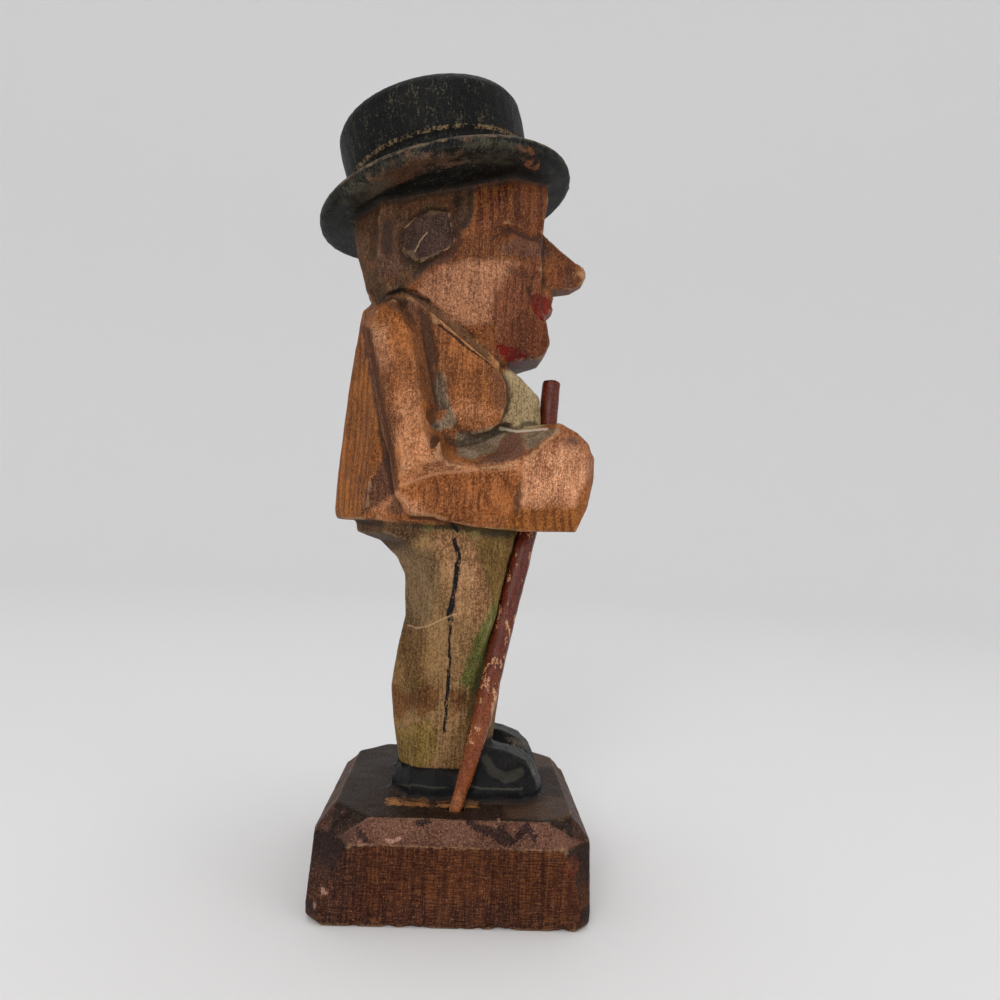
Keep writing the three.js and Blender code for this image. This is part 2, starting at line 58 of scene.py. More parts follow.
# Half widths, from the middle plane
HEAD_HALF = 12.2
BACK_HALF = 13.0
COLLAR_HALF = 3.0
SHIRT_HALF = 9.4
LIPS_HALF = 6.4

# Stains and paints, linear colours
PINE = {
    # Of the pine stains, the shade, plum and deep ones are painted shade on facets turned from the light, and
    # the sheen is a painted highlight.
    "coat": (0.225, 0.08, 0.024), "gold": (0.27, 0.092, 0.016), "shade": (0.13, 0.047, 0.019),
    "plum_shade": (0.08, 0.034, 0.02), "deep": (0.092, 0.03, 0.0105), "orange": (0.285, 0.096, 0.026),
    "raw": (0.34, 0.15, 0.05), "sheen": (0.6, 0.29, 0.15), "pale": (0.6, 0.38, 0.21),
    "pinkish": (0.34, 0.13, 0.053),
}
FACE = {
    "brow": (0.176, 0.057, 0.014), "temple": (0.098, 0.03, 0.008), "cheek": (0.205, 0.08, 0.036),
    # The dark colour beneath the chin is painted shade
    "front": (0.18, 0.057, 0.023), "chin": (0.122, 0.031, 0.01), "chin_shade": (0.055, 0.029, 0.023),
    "band": (0.1, 0.046, 0.032), "red": (0.125, 0.002, 0.0015), "lips": (0.13, 0.007, 0.003),
    "umber": (0.05, 0.019, 0.01), "nose": (0.138, 0.04, 0.014), "straw": (0.26, 0.135, 0.055),
}
HAIR = {
    "brown": (0.064, 0.034, 0.017), "rust": (0.098, 0.042, 0.018), "side": (0.042, 0.023, 0.014),
    "ear": (0.045, 0.0235, 0.018), "lock": (0.088, 0.044, 0.028),
}
HAT_PAINT = {
    "black": (0.004, 0.005, 0.0052), "tan": (0.22, 0.15, 0.075), "rust": (0.18, 0.062, 0.026),
    "moss": (0.058, 0.055, 0.036), "pink": (0.12, 0.07, 0.045),
}
CLOTHES = {
    "collar": (0.335, 0.148, 0.054), "shirt": (0.33, 0.246, 0.128), "torn": (0.66, 0.56, 0.44),
    "trousers": (0.16, 0.097, 0.035), "tan": (0.215, 0.122, 0.05), "olive": (0.165, 0.101, 0.027),
    "green": (0.082, 0.093, 0.02), "seat": (0.08, 0.043, 0.02), "rust": (0.105, 0.036, 0.0085),
    "lime": (0.17, 0.114, 0.024), "black": (0.006, 0.0066, 0.0074), "grey": (0.11, 0.1, 0.075),
    "drab": (0.11, 0.076, 0.04), "ochre": (0.145, 0.078, 0.022),
}
# In the hollow the plum colour is painted shade; the dust is a grey-green wash
HOLLOW = {"dust": (0.215, 0.172, 0.115), "plum_shade": (0.125, 0.062, 0.044)}
BASE = {
    # The plinth top's near-black is a dark stain made darker still as painted shade
    "top": (0.014, 0.008, 0.0052), "dusty": (0.082, 0.048, 0.03), "chamfer": (0.124, 0.056, 0.036),
    "side": (0.079, 0.0225, 0.008), "corner": (0.024, 0.01, 0.0062), "stain": (0.028, 0.013, 0.012),
    "red": (0.15, 0.02, 0.012), "mark": (0.36, 0.2, 0.14),
}
TWIG = {
    "bark": (0.145, 0.024, 0.009), "dark": (0.06, 0.01, 0.005), "low": (0.205, 0.052, 0.012),
    "tan": (0.5, 0.25, 0.11), "tip": (0.3, 0.105, 0.034),
}


def smooth(low, high, value):
    """0 below low, 1 above high, eased between."""
    t = np.clip((value - low) / (high - low), 0.0, 1.0)
    return t * t * (3.0 - 2.0 * t)


def inside(outline, x, z):
    """Distance in mm to an outline seen from the side, positive inside it."""
    nearest = np.full(x.shape, 1e9)
    within = np.zeros(x.shape, bool)
    for (ax, az), (bx, bz) in zip(outline, outline[1:] + outline[:1]):
        ex, ez = bx - ax, bz - az
        share = np.clip(((x - ax) * ex + (z - az) * ez) / (ex * ex + ez * ez), 0.0, 1.0)
        nearest = np.minimum(nearest, np.hypot(x - ax - share * ex, z - az - share * ez))
        if az != bz:
            within ^= ((az > z) != (bz > z)) & (x < ax + (z - az) * ex / ez)
    return np.where(within, nearest, -nearest)


class Skin:
    """A piece's points in millimetres, with the sums over neighbours that relief and wear need."""

    def __init__(self, piece):
        self.mesh = piece.data
        self.count = len(self.mesh.vertices)
        flat = np.empty(self.count * 3)
        self.mesh.vertices.foreach_get("co", flat)
        self.points = flat.reshape(-1, 3) / MM
        ends = np.empty(len(self.mesh.edges) * 2, np.int64)
        self.mesh.edges.foreach_get("vertices", ends)
        self.ends = ends.reshape(-1, 2)
        self.neighbours = np.maximum(np.bincount(ends, minlength=self.count), 1)

    def around(self, values):
        """The mean of each point's neighbours."""
        if values.ndim > 1:
            return np.stack([self.around(column) for column in values.T], axis=1)
        a, b = self.ends.T
        total = np.bincount(a, values[b], self.count) + np.bincount(b, values[a], self.count)
        return total / self.neighbours

    def eased(self, values, times, share=0.5):
        for _ in range(times):
            values = values + share * (self.around(values) - values)
        return values

    def normals(self):
        self.mesh.vertices.foreach_set("co", (self.points * MM).ravel())
        self.mesh.update()
        flat = np.empty(self.count * 3)
        self.mesh.vertices.foreach_get("normal", flat)
        return flat.reshape(-1, 3)

    def cut(self, depth):
        """Takes wood away: depth in mm at each point."""
        self.points = self.points - self.normals() * depth[:, None]

    def bend(self, times):
        """How hollow (above 0) or proud (below 0) the skin is at each point, in mm."""
        step = self.eased(self.points, times)
        return ((self.around(step) - step) * self.normals()).sum(axis=1)

    def keep(self, name, values):
        """Stores values for the material, one number or one colour with its strength for each point."""
        if values.ndim == 1:
            self.mesh.attributes.new(name, "FLOAT", "POINT").data.foreach_set("value", values)
        else:
            made = self.mesh.attributes.new(name, "FLOAT_COLOR", "POINT")
            made.data.foreach_set("color", values.ravel())


def fine_skin(node_name, piece_name, voxel):
    """A dense even copy of a CAD node, laid back on the CAD's own facets."""
    source = bmesh.new()
    source.from_mesh(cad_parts[node_name].data)
    bmesh.ops.remove_doubles(source, verts=source.verts, dist=0.001 * MM)
    facets = bvhtree.BVHTree.FromBMesh(source)
    closed = bpy.data.meshes.new(piece_name)
    source.to_mesh(closed)
    source.free()
    piece = bpy.data.objects.new(piece_name, closed)
    bpy.context.scene.collection.objects.link(piece)
    remesh = piece.modifiers.new("skin", "REMESH")
    remesh.mode = "VOXEL"
    remesh.voxel_size = voxel * MM
    shaped = piece.evaluated_get(bpy.context.evaluated_depsgraph_get())
    fine = bpy.data.meshes.new_from_object(shaped)
    piece.modifiers.clear()
    piece.data = fine
    for vertex in fine.vertices:
        vertex.co = facets.find_nearest(vertex.co)[0]
    fine.polygons.foreach_set("use_smooth", [True] * len(fine.polygons))
    return piece


def knife_cuts(points, spacing, depth, seed):
    """Depth of shallow cuts side by side, deepest in their middles, with ridges where they meet."""
    spacing = np.array(spacing)
    random_part = np.random.default_rng(seed)
    low, high = points.min(axis=0) - spacing, points.max(axis=0) + spacing
    steps = [np.arange(a, b, s) for a, b, s in zip(low, high, spacing)]
    middles = np.stack(np.meshgrid(*steps, indexing="ij"), axis=-1).reshape(-1, 3)
    middles = middles + random_part.uniform(-0.45, 0.45, middles.shape) * spacing
    strength = random_part.uniform(0.35, 1.0, len(middles))
    tree = kdtree.KDTree(len(middles))
    for i, middle in enumerate(middles / spacing):
        tree.insert(middle, i)
    tree.balance()
    found = [tree.find(point)[1:] for point in points / spacing]
    index = np.array([pair[0] for pair in found])
    away = np.array([pair[1] for pair in found])
    return depth * strength[index] * np.clip(1.0 - (away / 0.8) ** 2, 0.0, 1.0)


def chips(points, places):
    """Depth of small knocks, each a place, a radius and a depth."""
    depth = np.zeros(len(points))
    for x, y, z, radius, deep in places:
        away = np.linalg.norm(points - (x, y, z), axis=1) / radius
        depth = np.maximum(depth, deep * np.clip(1.0 - away ** 2, 0.0, 1.0))
    return depth


def hat_place(points):
    """Height above the brim's underside along the hat's axis, and distance from that axis."""
    lean = math.radians(HAT["tilt"])
    axis = np.array((-math.sin(lean), 0.0, math.cos(lean)))
    away = points - HAT["centre"]
    height = away @ axis
    return height, np.linalg.norm(away - height[:, None] * axis, axis=1)


# Outlines of the painted areas seen from the side, (X, Z)
HAIR_LINE = [
    (-1.9, 124), (-1.9, 112.6), (-2.3, 110.4), (-4.2, 110.2), (-4.4, 107.4), (-8.6, 103.6), (-10.6, 101),
    (-12.6, 99.2), (-12.6, 94), (-34, 94), (-34, 124),
]
JAW_LINE = [
    (-30, 99.2), (-18.7, 99.2), (-17.6, 97.1), (-13, 99.2), (-10.8, 99), (-3.1, 94.3), (4.6, 87.6),
    (12.6, 90.2), (24, 92), (24, 140), (-30, 140),
]
COLLAR_STRIP = [(-20, 102.8), (-16, 103), (-3, 95.8), (6.4, 88.6), (4.4, 86.2), (-9.6, 96.2), (-19, 99.6)]
LIPS = [(8.4, 101.0), (10.7, 101.8), (14.2, 101.9), (14.2, 98.6), (12.0, 97.2), (10.8, 97.2), (9.2, 98.8)]
SHIRT = [
    (4.2, 87.3), (5.4, 84.9), (5.9, 81.5), (4.9, 78.0), (3.2, 76.6), (3.4, 75), (12.8, 77.9), (12.8, 84),
    (8.6, 87.6), (5, 89.6),
]
EAR_LEAF = [
    (-13.9, 106.9), (-13.4, 109.0), (-11.4, 111.0), (-8.9, 112.3), (-5.7, 112.3), (-5.2, 109.9),
    (-4.3, 108.0), (-5.6, 106.1), (-8.8, 104.1), (-10.9, 103.4), (-12.8, 104.8),
]

# Stained facets, some darkened as painted shade where they turn from the light, laid one over the other: the
# outline, the least and greatest distance from the middle plane, a colour and a strength.
FACETS = [
    # Head
    ([(-4.9, 117), (-1.8, 117), (-1.8, 112.8), (-2.3, 110.4), (-4.6, 110.4), (-5.2, 112.4)], (10, 13),
     HAIR["side"], 0.7),
    ([(-18.2, 108), (-16.8, 110), (-14.2, 110.4), (-14.2, 107), (-12.9, 103.6), (-14.4, 100.8),
      (-16.6, 101.6), (-17.8, 104.6)], (8, 13), HAIR["lock"], 0.8),
    ((-11.5, 114.6, 9.0, 1.7, 15), (6, 13), HAIR["rust"], 0.6),
    ([(-3.9, 108.5), (3.2, 111), (5, 110.8), (1.5, 104.8), (-1.9, 104.5), (-5.2, 104.3)], (8, 12),
     FACE["temple"], 0.75),
    ([(-8.8, 102.4), (-3.2, 104.8), (6.4, 105.6), (6.5, 104.8), (4.7, 102.6), (2.7, 99.9), (2.8, 94.7),
      (-3.0, 93.9), (-8.2, 96.6), (-10.7, 98.8)], (8, 12), FACE["cheek"], 0.95),
    ([(10.6, 108), (10.8, 103.8), (9.1, 100.3), (7.3, 97.9), (3.9, 91.2), (3.0, 93.5), (2.7, 99.9),
      (4.7, 102.6), (6.5, 105)], (4, 12), FACE["front"], 0.9),
    # Painted shade in the eye socket, under the brow
    ([(3.0, 108), (6.5, 110.6), (12.6, 111.8), (12.4, 109.6), (7.3, 106.9), (3.0, 106)], (0, 13),
     FACE["band"], 0.7),
    ([(7.3, 97.8), (11.2, 96.8), (13.6, 93.6), (12, 90.4), (7.7, 89.6), (3.3, 90.8)], (2, 11),
     FACE["chin"], 0.9),
    # Painted shade under the chin
    ([(5.4, 89.4), (8.4, 90.4), (12.8, 91.2), (13, 88), (5.4, 87.6)], (0, 9), FACE["chin_shade"], 0.8),
    ([(15.4, 108), (17.6, 107.6), (17.2, 103), (14.8, 103.4)], (0, 5), FACE["band"], 0.5),
    # Coat
    # Painted shade in plum on the shoulder's top beside the nape
    ([(-16.6, 98.4), (-10, 97), (-8.4, 94.8), (-10, 93.2), (-13, 94.2), (-15.2, 95.4)], (7, 16),
     PINE["plum_shade"], 0.85),
    # Painted shade: the sleeve's back edge, deep and dark where it turns from the light
    ([(-20.4, 94.6), (-17.2, 91), (-14.7, 80.8), (-11.5, 66), (-13.6, 70), (-16.6, 79.6), (-18.8, 87)],
     (5, 17), PINE["deep"], 0.9),
    ([(-17.0, 91), (-15.0, 91), (-13.4, 85), (-12.6, 79), (-11.8, 73), (-12.6, 70), (-15.2, 80)], (11, 18.4),
     PINE["deep"], 0.75),
    # Painted shade in plum: the dark triangle at the back, above the hem
    ([(-13.4, 71.6), (-11.8, 65.6), (-13.8, 62.8), (-17.4, 60.8), (-16.9, 65.5), (-15.4, 68.5)], (11, 16),
     PINE["plum_shade"], 0.85),
    ([(-20.4, 92), (-18.4, 86), (-16.2, 78), (-14.4, 71), (-16.6, 66), (-17.8, 60.6), (-24, 60.6), (-24, 90)],
     (0, 13.6), PINE["gold"], 0.85),
    ([(-13.1, 96.4), (-8.1, 95.4), (-6.3, 93.1), (-6.2, 84.8), (-4.2, 80.4), (-4, 78), (-6.9, 78.9),
      (-8.1, 80.4), (-9.4, 85.6), (-11.3, 91.3)], (10.4, 16.4), PINE["shade"], 0.85),
    ([(-6.2, 86), (-5.4, 85), (-3.6, 80.4), (-2.9, 77.4), (-4.6, 78), (-6.6, 80.6)], (10, 13.4),
     HOLLOW["dust"], 0.75),
    # Painted shade in plum on the chest's side that turns from the light
    ([(2, 87.6), (5.3, 86.5), (6.4, 83.1), (5.8, 80.1), (4.1, 80), (2.6, 82.6)], (6, 12), PINE["plum_shade"], 0.55),
    ([(-3, 80.6), (-1, 81.8), (4.6, 79.6), (2.9, 77), (0, 75.6), (-2.6, 77)], (8, 12.4), PINE["orange"], 0.6),
    ([(-8.2, 76.8), (-6.9, 79.4), (-4.4, 79.8), (-4.9, 78.1), (-7.2, 76.4)], (10.8, 18), PINE["orange"], 0.9),
    ([(-7.2, 76.2), (-4.2, 78.2), (-2.9, 77.6), (-3.8, 76.1), (-6, 75.4)], (10.8, 17), HOLLOW["dust"], 0.9),
    ([(-2.9, 76), (0, 76.2), (5.6, 78), (4.1, 72.6), (0.4, 71.2), (-2.4, 71.6)], (2, 14.2),
     HOLLOW["dust"], 0.9),
    ([(8.2, 76.6), (14.6, 77), (12.6, 74.6), (9.2, 72.6)], (4, 15.4), HOLLOW["dust"], 0.9),
    # Painted shade in plum deep in the hollow under the chest
    ([(5.9, 77.8), (8.3, 76.8), (9, 72.2), (4.7, 70.1), (0.3, 70.1), (3.8, 72.4)], (4, 16),
     HOLLOW["plum_shade"], 0.9),
    ([(-11.1, 65.9), (-6.1, 67.8), (0.2, 69.1), (8, 69.4), (8, 63.4), (5.1, 61.8), (-1.3, 61.2),
      (-5.9, 62.2), (-8.8, 64)], (13, 17.4), PINE["orange"], 0.9),
    ([(8.2, 71.6), (14.2, 76.5), (18.6, 76.4), (21.6, 72.6), (19.3, 67), (18, 64.4), (8, 63.4)], (7, 16.4),
     PINE["pinkish"], 0.95),
    ([(14.8, 75.4), (17.8, 76), (17.6, 74.2), (15.6, 73.5)], (8, 14), FACE["band"], 0.75),
    ([(8, 63.2), (18.4, 64.4), (19.4, 59.4), (6.6, 59.4), (6.4, 61)], (6, 15.4), PINE["gold"], 0.9),
    ([(-12.1, 65.3), (-8.4, 63.8), (-5.6, 61.4), (-17, 61.4)], (12, 16.4), PINE["pinkish"], 0.6),
    # Trousers
    # Painted shade on the seat, under the coat's tails
    ([(-19.4, 60.2), (-7, 60.2), (-7, 58.7), (-11.1, 55.4), (-13.7, 55.8), (-15.6, 57.2), (-19.4, 58)],
     (0, 13.4), CLOTHES["seat"], 0.9),
    ([(-7, 60.2), (8.4, 60.2), (8.4, 59), (1, 58.4), (-7, 59)], (6, 13.4), CLOTHES["green"], 0.6),
    ([(-6.2, 59.4), (-2.6, 59.3), (1.1, 58.5), (2.3, 54.6), (4.3, 49), (2.8, 44), (0.5, 38), (0, 32.7),
      (-1.6, 33), (-2.4, 44.5), (-2.6, 52)], (8, 13.4), CLOTHES["tan"], 0.85),
    ([(0.9, 57.8), (8.6, 59), (8.6, 56), (5.8, 46), (4.8, 44.7), (4.3, 49), (2.3, 54.6)], (4, 13),
     CLOTHES["olive"], 0.9),
    # The trousers' front: green paint, made darker as painted shade where it turns from the light
    ([(5.8, 46.4), (8.8, 57), (9.6, 50), (7.6, 38), (4.4, 31), (0, 34.4), (1.1, 38.6), (2.9, 43.4),
      (4.7, 47.4)], (5, 12.6), CLOTHES["green"], 0.92),
    ([(-1.9, 33), (0.6, 33.4), (1.2, 30), (-1.3, 28)], (8, 13), CLOTHES["rust"], 0.7),
    ([(-12, 56), (-5.6, 56), (-4.0, 50), (-5.4, 44.2), (-7.4, 43.2), (-12, 43.2)], (4, 13),
     CLOTHES["drab"], 0.55),
    ([(-12, 42.6), (-6.6, 42.8), (-5.2, 38), (-6.0, 33), (-12, 32)], (4, 13), CLOTHES["ochre"], 0.6),
    ([(-12, 33.0), (-8.4, 31.6), (-6.2, 33.4), (-3.2, 33.2), (-3.6, 30.2), (-5.6, 28.4), (-7.6, 29.6),
      (-9.7, 27.2), (-12, 28)], (2, 13), CLOTHES["rust"], 0.75),
    ([(-10.6, 25.8), (-4.6, 28), (-3.2, 24.8), (-4.2, 20.2), (-10, 20.2)], (4, 13), CLOTHES["lime"], 0.7),
    ([(-1.9, 27.4), (1.6, 29.6), (3.2, 24), (2.4, 20.2), (-3.6, 20.2), (-3.1, 24.8)], (4, 13),
     CLOTHES["tan"], 0.8),
    # Plinth
    ([(18.9, 12.2), (21.6, 12.2), (21.6, 15.3), (18.9, 15.3)], (0, 18.6), BASE["corner"], 0.7),
    ([(-18.9, 12.2), (-21.6, 12.2), (-21.6, 15.3), (-18.9, 15.3)], (0, 18.6), BASE["corner"], 0.6),
    ([(8, 14.8), (19, 14.8), (19, 15.6), (8, 15.6)], (8, 18), BASE["dusty"], 0.8),
    ((2.0, 1.0, 22.0, 3.6, 0), (20, 24), BASE["stain"], 0.5),
    ((-18.0, 7.0, 5.0, 8.0, 0), (18, 24), BASE["stain"], 0.7),
]

# Facets given a painted sheen, pale glossy grain for the light they catch: the outline, the least and
# greatest distance, a strength.
SHEEN_FACETS = [
    ([(-8.6, 102.2), (-3.2, 104.6), (6.3, 105.5), (4.5, 102.4), (2.4, 99.9), (2.4, 95), (-3.0, 94.2),
      (-8.0, 96.8), (-10.2, 98.8)], (8, 12), 0.24),
    ([(-12.5, 80.8), (-10.4, 82.8), (-8.6, 78), (-7.6, 75.8), (-4.6, 71), (-6.6, 68.2), (-11.3, 66.4),
      (-12.1, 74)], (15, 18.4), 0.3),
    ([(-11.4, 66.3), (-6.6, 68.2), (0.2, 69.2), (8, 69.2), (8, 71), (0.2, 70.4), (-6, 70)], (15, 18), 0.42),
    ([(8.4, 70.8), (14, 74.6), (18.6, 74), (20.6, 71.4), (18.4, 67), (17.6, 64.8), (8.4, 63.8)],
     (8, 16.2), 0.6),
    ((13.4, 67.6, 3.0, 1.6, 20), (9, 17), 0.95),
    ([(-12.1, 65.1), (-8.6, 63.8), (-6.4, 62), (-15.6, 61.8)], (12, 16.4), 0.34),
    ([(-17.6, 92), (-14.6, 92.6), (-13.4, 86), (-15.4, 84)], (13, 17), 0.3),
    ([(-5.4, 58.6), (-2.6, 58.6), (1, 57.8), (2.2, 54.4), (4.1, 49), (2.4, 44), (-1.6, 45)], (9, 13.2), 0.22),
    ([(-3, 80.4), (-1, 81.6), (4.4, 79.6), (2.8, 77.2), (0, 76), (-2.4, 77.2)], (8, 12.4), 0.25),
]

# Where the growth rings show as dark bars, given the same way
BARRED = [
    ([(-1.8, 118), (11, 120), (11, 111.8), (3, 111.4), (-1.8, 109)], (4, 12.4), 1.0),
    ([(-1.8, 109), (3, 111.4), (3, 105), (-6, 104)], (8, 12.4), 0.5),
    ([(3.0, 106), (11, 108), (14, 94), (12, 89), (3, 90)], (2, 12.4), 0.45),
    ([(-11.1, 65.9), (0.2, 69.1), (8, 69.4), (8, 63), (-1.3, 61), (-8.8, 64)], (13, 17.4), 0.5),
    ([(6.4, 63.4), (19, 64.6), (19.6, 59.4), (6, 59.4)], (6, 15.4), 0.8),
    ([(-21.5, 0), (21.5, 0), (21.5, 12.1), (-21.5, 12.1)], (15, 23), 0.5),
    ([(-24, 60), (-24, 98), (-18, 96), (-16, 62)], (0, 13.6), 0.7),
]


def corner_depth(points):
    """How far past the start of the plinth's pared corners a point lies, in mm, below 0 on the sides."""
    x, y, z = points.T
    share = np.clip((z - PLINTH["foot"]) / (PLINTH["chamfer_z"] - PLINTH["foot"]), 0.12, 1.0)
    slant = np.clip((z - PLINTH["chamfer_z"]) / (PLINTH["top"] - PLINTH["chamfer_z"]), 0.0, 1.0)
    half_sum = (PLINTH["length"] + PLINTH["width"]) / 2 - 2.0 * PLINTH["chamfer_inset"] * slant
    full_cut = np.zeros(len(points))
    for (sign_x, sign_y), cut in PLINTH["corners"].items():
        full_cut[(x * sign_x >= 0) & (y * sign_y >= 0)] = cut
    cut = PLINTH["sawn_corner"] + (full_cut - PLINTH["sawn_corner"]) * share
    return np.abs(x) + np.abs(y) - (half_sum - cut)


def zones(points):
    """How far inside each painted area every point lies, in mm."""
    x, y, z = points.T
    side = np.abs(y)
    height, _ = hat_place(points)
    head = np.minimum(inside(JAW_LINE, x, z), z - NECK_Z)
    on_back_hem = (x < FRONT_HEM_X) & (side < BACK_HALF)
    hem = np.where(on_back_hem, HEM_Z["back"], HEM_Z["front"])
    shoe_top = CUFF_Z + np.interp(x, (3.2, 4.2, 6.0), (-0.45, 2.8, 4.0))
    corner = corner_depth(points)
    inset = PLINTH["chamfer_inset"]
    top = np.minimum(PLINTH["length"] / 2 - inset - np.abs(x), PLINTH["width"] / 2 - inset - side)
    return {
        "collar": np.minimum(inside(COLLAR_STRIP, x, z), side - COLLAR_HALF),
        "shirt": np.minimum(inside(SHIRT, x, z), SHIRT_HALF - side),
        "trousers": np.minimum(hem - z, z - CUFF_Z + 0.8),
        "shoes": np.minimum(shoe_top - z, z - PLINTH["top"] - 0.12),
        "face": head,
        "hair": np.minimum(head, inside(HAIR_LINE, x, z)),
        "ear": np.minimum(inside(EAR_LEAF, x, z), (side - HEAD_HALF + 0.1) * 2.0),
        "lips": np.minimum(inside(LIPS, x, z), LIPS_HALF - side),
        "hat": height + 0.55,
        "plinth": PLINTH["top"] + 0.1 - z,
        "plinth_top": np.minimum(top, -corner),
        "plinth_side": PLINTH["chamfer_z"] - z,
        "plinth_corner": corner + 0.25,
    }


# Knife cuts: how far apart they lie along X, Y and Z, how deep they go, and their seed
CUTS = {
    "long": ((4.6, 4.6, 9.0), 0.16, SEED), "short": ((2.2, 2.2, 3.2), 0.06, SEED + 1),
    "trousers": ((3.6, 3.6, 12.0), 0.16, SEED + 2), "chamfer": ((3.0, 3.0, 9.0), 0.42, SEED + 3),
    "plinth_top": ((6.5, 3.4, 9.0), 0.1, SEED + 4), "twig": ((2.6, 2.6, 4.2), 0.16, SEED + 5),
}
BAND_DEPTH = 0.55


def figure_relief(skin):
    """Knife cuts, the groove of the hat's band and knocks, all cut into the skin."""
    points = skin.points
    area = zones(points)
    z = points[:, 2]
    plain = smooth(0.2, 1.2, z - PLINTH["top"]) * (1.0 - smooth(-0.4, 0.4, area["hat"]))
    long_cuts = knife_cuts(points, *CUTS["long"])
    trouser_cuts = knife_cuts(points, *CUTS["trousers"])
    on_trousers = smooth(-0.3, 0.3, area["trousers"])
    cuts = long_cuts * (1.0 - on_trousers) + trouser_cuts * on_trousers
    depth = plain * (cuts + knife_cuts(points, *CUTS["short"]))
    on_chamfer = smooth(-0.2, 0.5, z - PLINTH["chamfer_z"]) * smooth(-0.1, 0.1, PLINTH["top"] - 0.25 - z)
    depth += on_chamfer * knife_cuts(points, *CUTS["chamfer"])
    on_top = smooth(-0.2, 0.0, z - PLINTH["top"] + 0.1) * smooth(-0.2, 0.0, PLINTH["top"] + 0.1 - z)
    depth += on_top * knife_cuts(points, *CUTS["plinth_top"])
    height, radius = hat_place(points)
    on_crown = smooth(3.2, 3.8, height) * smooth(HAT["crown"] - 3.0, HAT["crown"] - 2.2, radius)
    depth += BAND_DEPTH * on_crown * smooth(-0.25, 0.25, HAT["band_top"] - height)
    skin.cut(depth)
    skin.cut(chips(skin.points, knocks()))
    skin.points = skin.eased(skin.points, 1, 0.3)


def knocks():
    """Tear-out along the plinth's lower edge, and knocks on the carving's corners."""
    picked = random.Random(SEED)
    half_length, half_width = PLINTH["length"] / 2, PLINTH["width"] / 2
    places = [
        (-12.6, -14.4, 62.0, 2.2, 0.7), (-16.4, -13.2, 61.0, 1.6, 0.5), (-22.8, -6.0, 60.6, 1.6, 0.5),
        (20.4, -8.0, 73.6, 1.5, 0.35), (19.0, -9.6, 60.0, 1.5, 0.5), (19.6, 8.2, 60.2, 1.6, 0.5),
        (-20.5, -13.2, 119.0, 1.8, 0.4), (-9.0, -21.9, 119.6, 1.3, 0.3), (12.6, 2.0, 91.0, 1.4, 0.4),
        (-18.7, -22.0, 5.4, 1.1, 0.25), (18.9, -21.7, 10.0, 1.6, 0.4), (-20.6, 20.4, 12.4, 1.8, 0.6),
    ]
    for _ in range(34):
        share = picked.uniform(-0.86, 0.86)
        size = picked.uniform(0.5, 1.3)
        flip = picked.choice((-1, 1))
        if picked.random() < 0.5:
            edge = (share * half_length, flip * half_width)
        else:
            edge = (flip * half_length, share * half_width)
        places.append((edge[0], edge[1], 0.0, size, size * 0.4))
    return places


# Flaked paint and scuffs with torn edges: an outline or an ellipse (X, Z, half width, half height,
# lean), the least and greatest distance from the middle plane, a colour and a strength.
FLAKES = [
    # Hat
    ((-11.5, 115.6, 9.5, 1.9, 14), (12, 22.6), HAT_PAINT["pink"], 0.62),
    ((-15.0, 113.6, 6.0, 1.3, 18), (12, 22.6), HAIR["rust"], 0.62),
    ((6.4, 120.9, 1.7, 0.5, 8), (12, 20), HAT_PAINT["rust"], 0.72),
    ((8.6, 120.3, 0.8, 0.7, 8), (12, 20), HAT_PAINT["rust"], 0.66),
    ((-3.2, 119.9, 0.7, 1.0, 0), (19, 24), HAT_PAINT["rust"], 0.95),
    ((0.0, 119.6, 6.0, 1.4, 10), (15, 22.6), HAT_PAINT["moss"], 0.6),
    ((-19.5, 113.2, 5.0, 2.0, 20), (5, 18), HAT_PAINT["moss"], 0.6),
    ((9.5, 124.0, 5.0, 1.4, 15), (0, 13), HAT_PAINT["moss"], 0.5),
    # Head
    ([(2.7, 91.2), (5.8, 91.4), (8.9, 90.6), (7.7, 89.2), (6.6, 88.6), (4.4, 89.4)], (2, 10),
     FACE["red"], 1.0),
    ((18.8, 107.2, 1.3, 2.0, 0), (0, 3), FACE["straw"], 0.75),
    # Shoes: paler on the instep, worn paint with a painted highlight
    ((11.4, 20.4, 3.4, 0.9, -24), (2, 9), CLOTHES["grey"], 0.6),
    # Plinth: knocked corners, bare wood beside the sole
    ((18.3, 9.4, 0.6, 2.0, 22), (19, 23), BASE["red"], 0.62),
    ((-18.6, 5.0, 0.6, 0.55, 0), (20, 23), BASE["mark"], 1.0),
    ((-19.9, 2.9, 0.35, 0.9, 20), (19, 23), BASE["mark"], 0.9),
    ([(-11.2, 14.9), (4.2, 14.9), (4.2, 15.5), (-11.2, 15.5)], (11.2, 14.6), PINE["raw"], 0.66),
]

# Dark stains and pale nicks on the plinth's long chamfers, each an ellipse and a strength
CHAMFER_STAINS = [
    ((4.6, 14.4, 3.0, 0.5, -12), 0.95), ((7.2, 13.6, 2.2, 0.9, -25), 1.1),
    ((10.4, 13.9, 2.0, 0.7, 42), 1.0), ((12.0, 13.6, 1.4, 0.5, -45), 1.0),
    ((-13.6, 13.2, 1.4, 0.6, -20), 0.9), ((-4.6, 14.6, 1.6, 0.4, 10), 0.8),
]
CHAMFER_NICKS = [
    ((-9.0, 12.5, 1.6, 0.2, 4), 0.8), ((-13.0, 12.3, 1.2, 0.2, 4), 0.8), ((6.6, 14.8, 0.8, 0.2, 70), 0.8),
    ((9.2, 14.8, 1.0, 0.22, 70), 0.9),
]
for marks, tint in ((CHAMFER_STAINS, BASE["stain"]), (CHAMFER_NICKS, BASE["mark"])):
    FLAKES += [(shape, (17, 23), tint, strength) for shape, strength in marks]


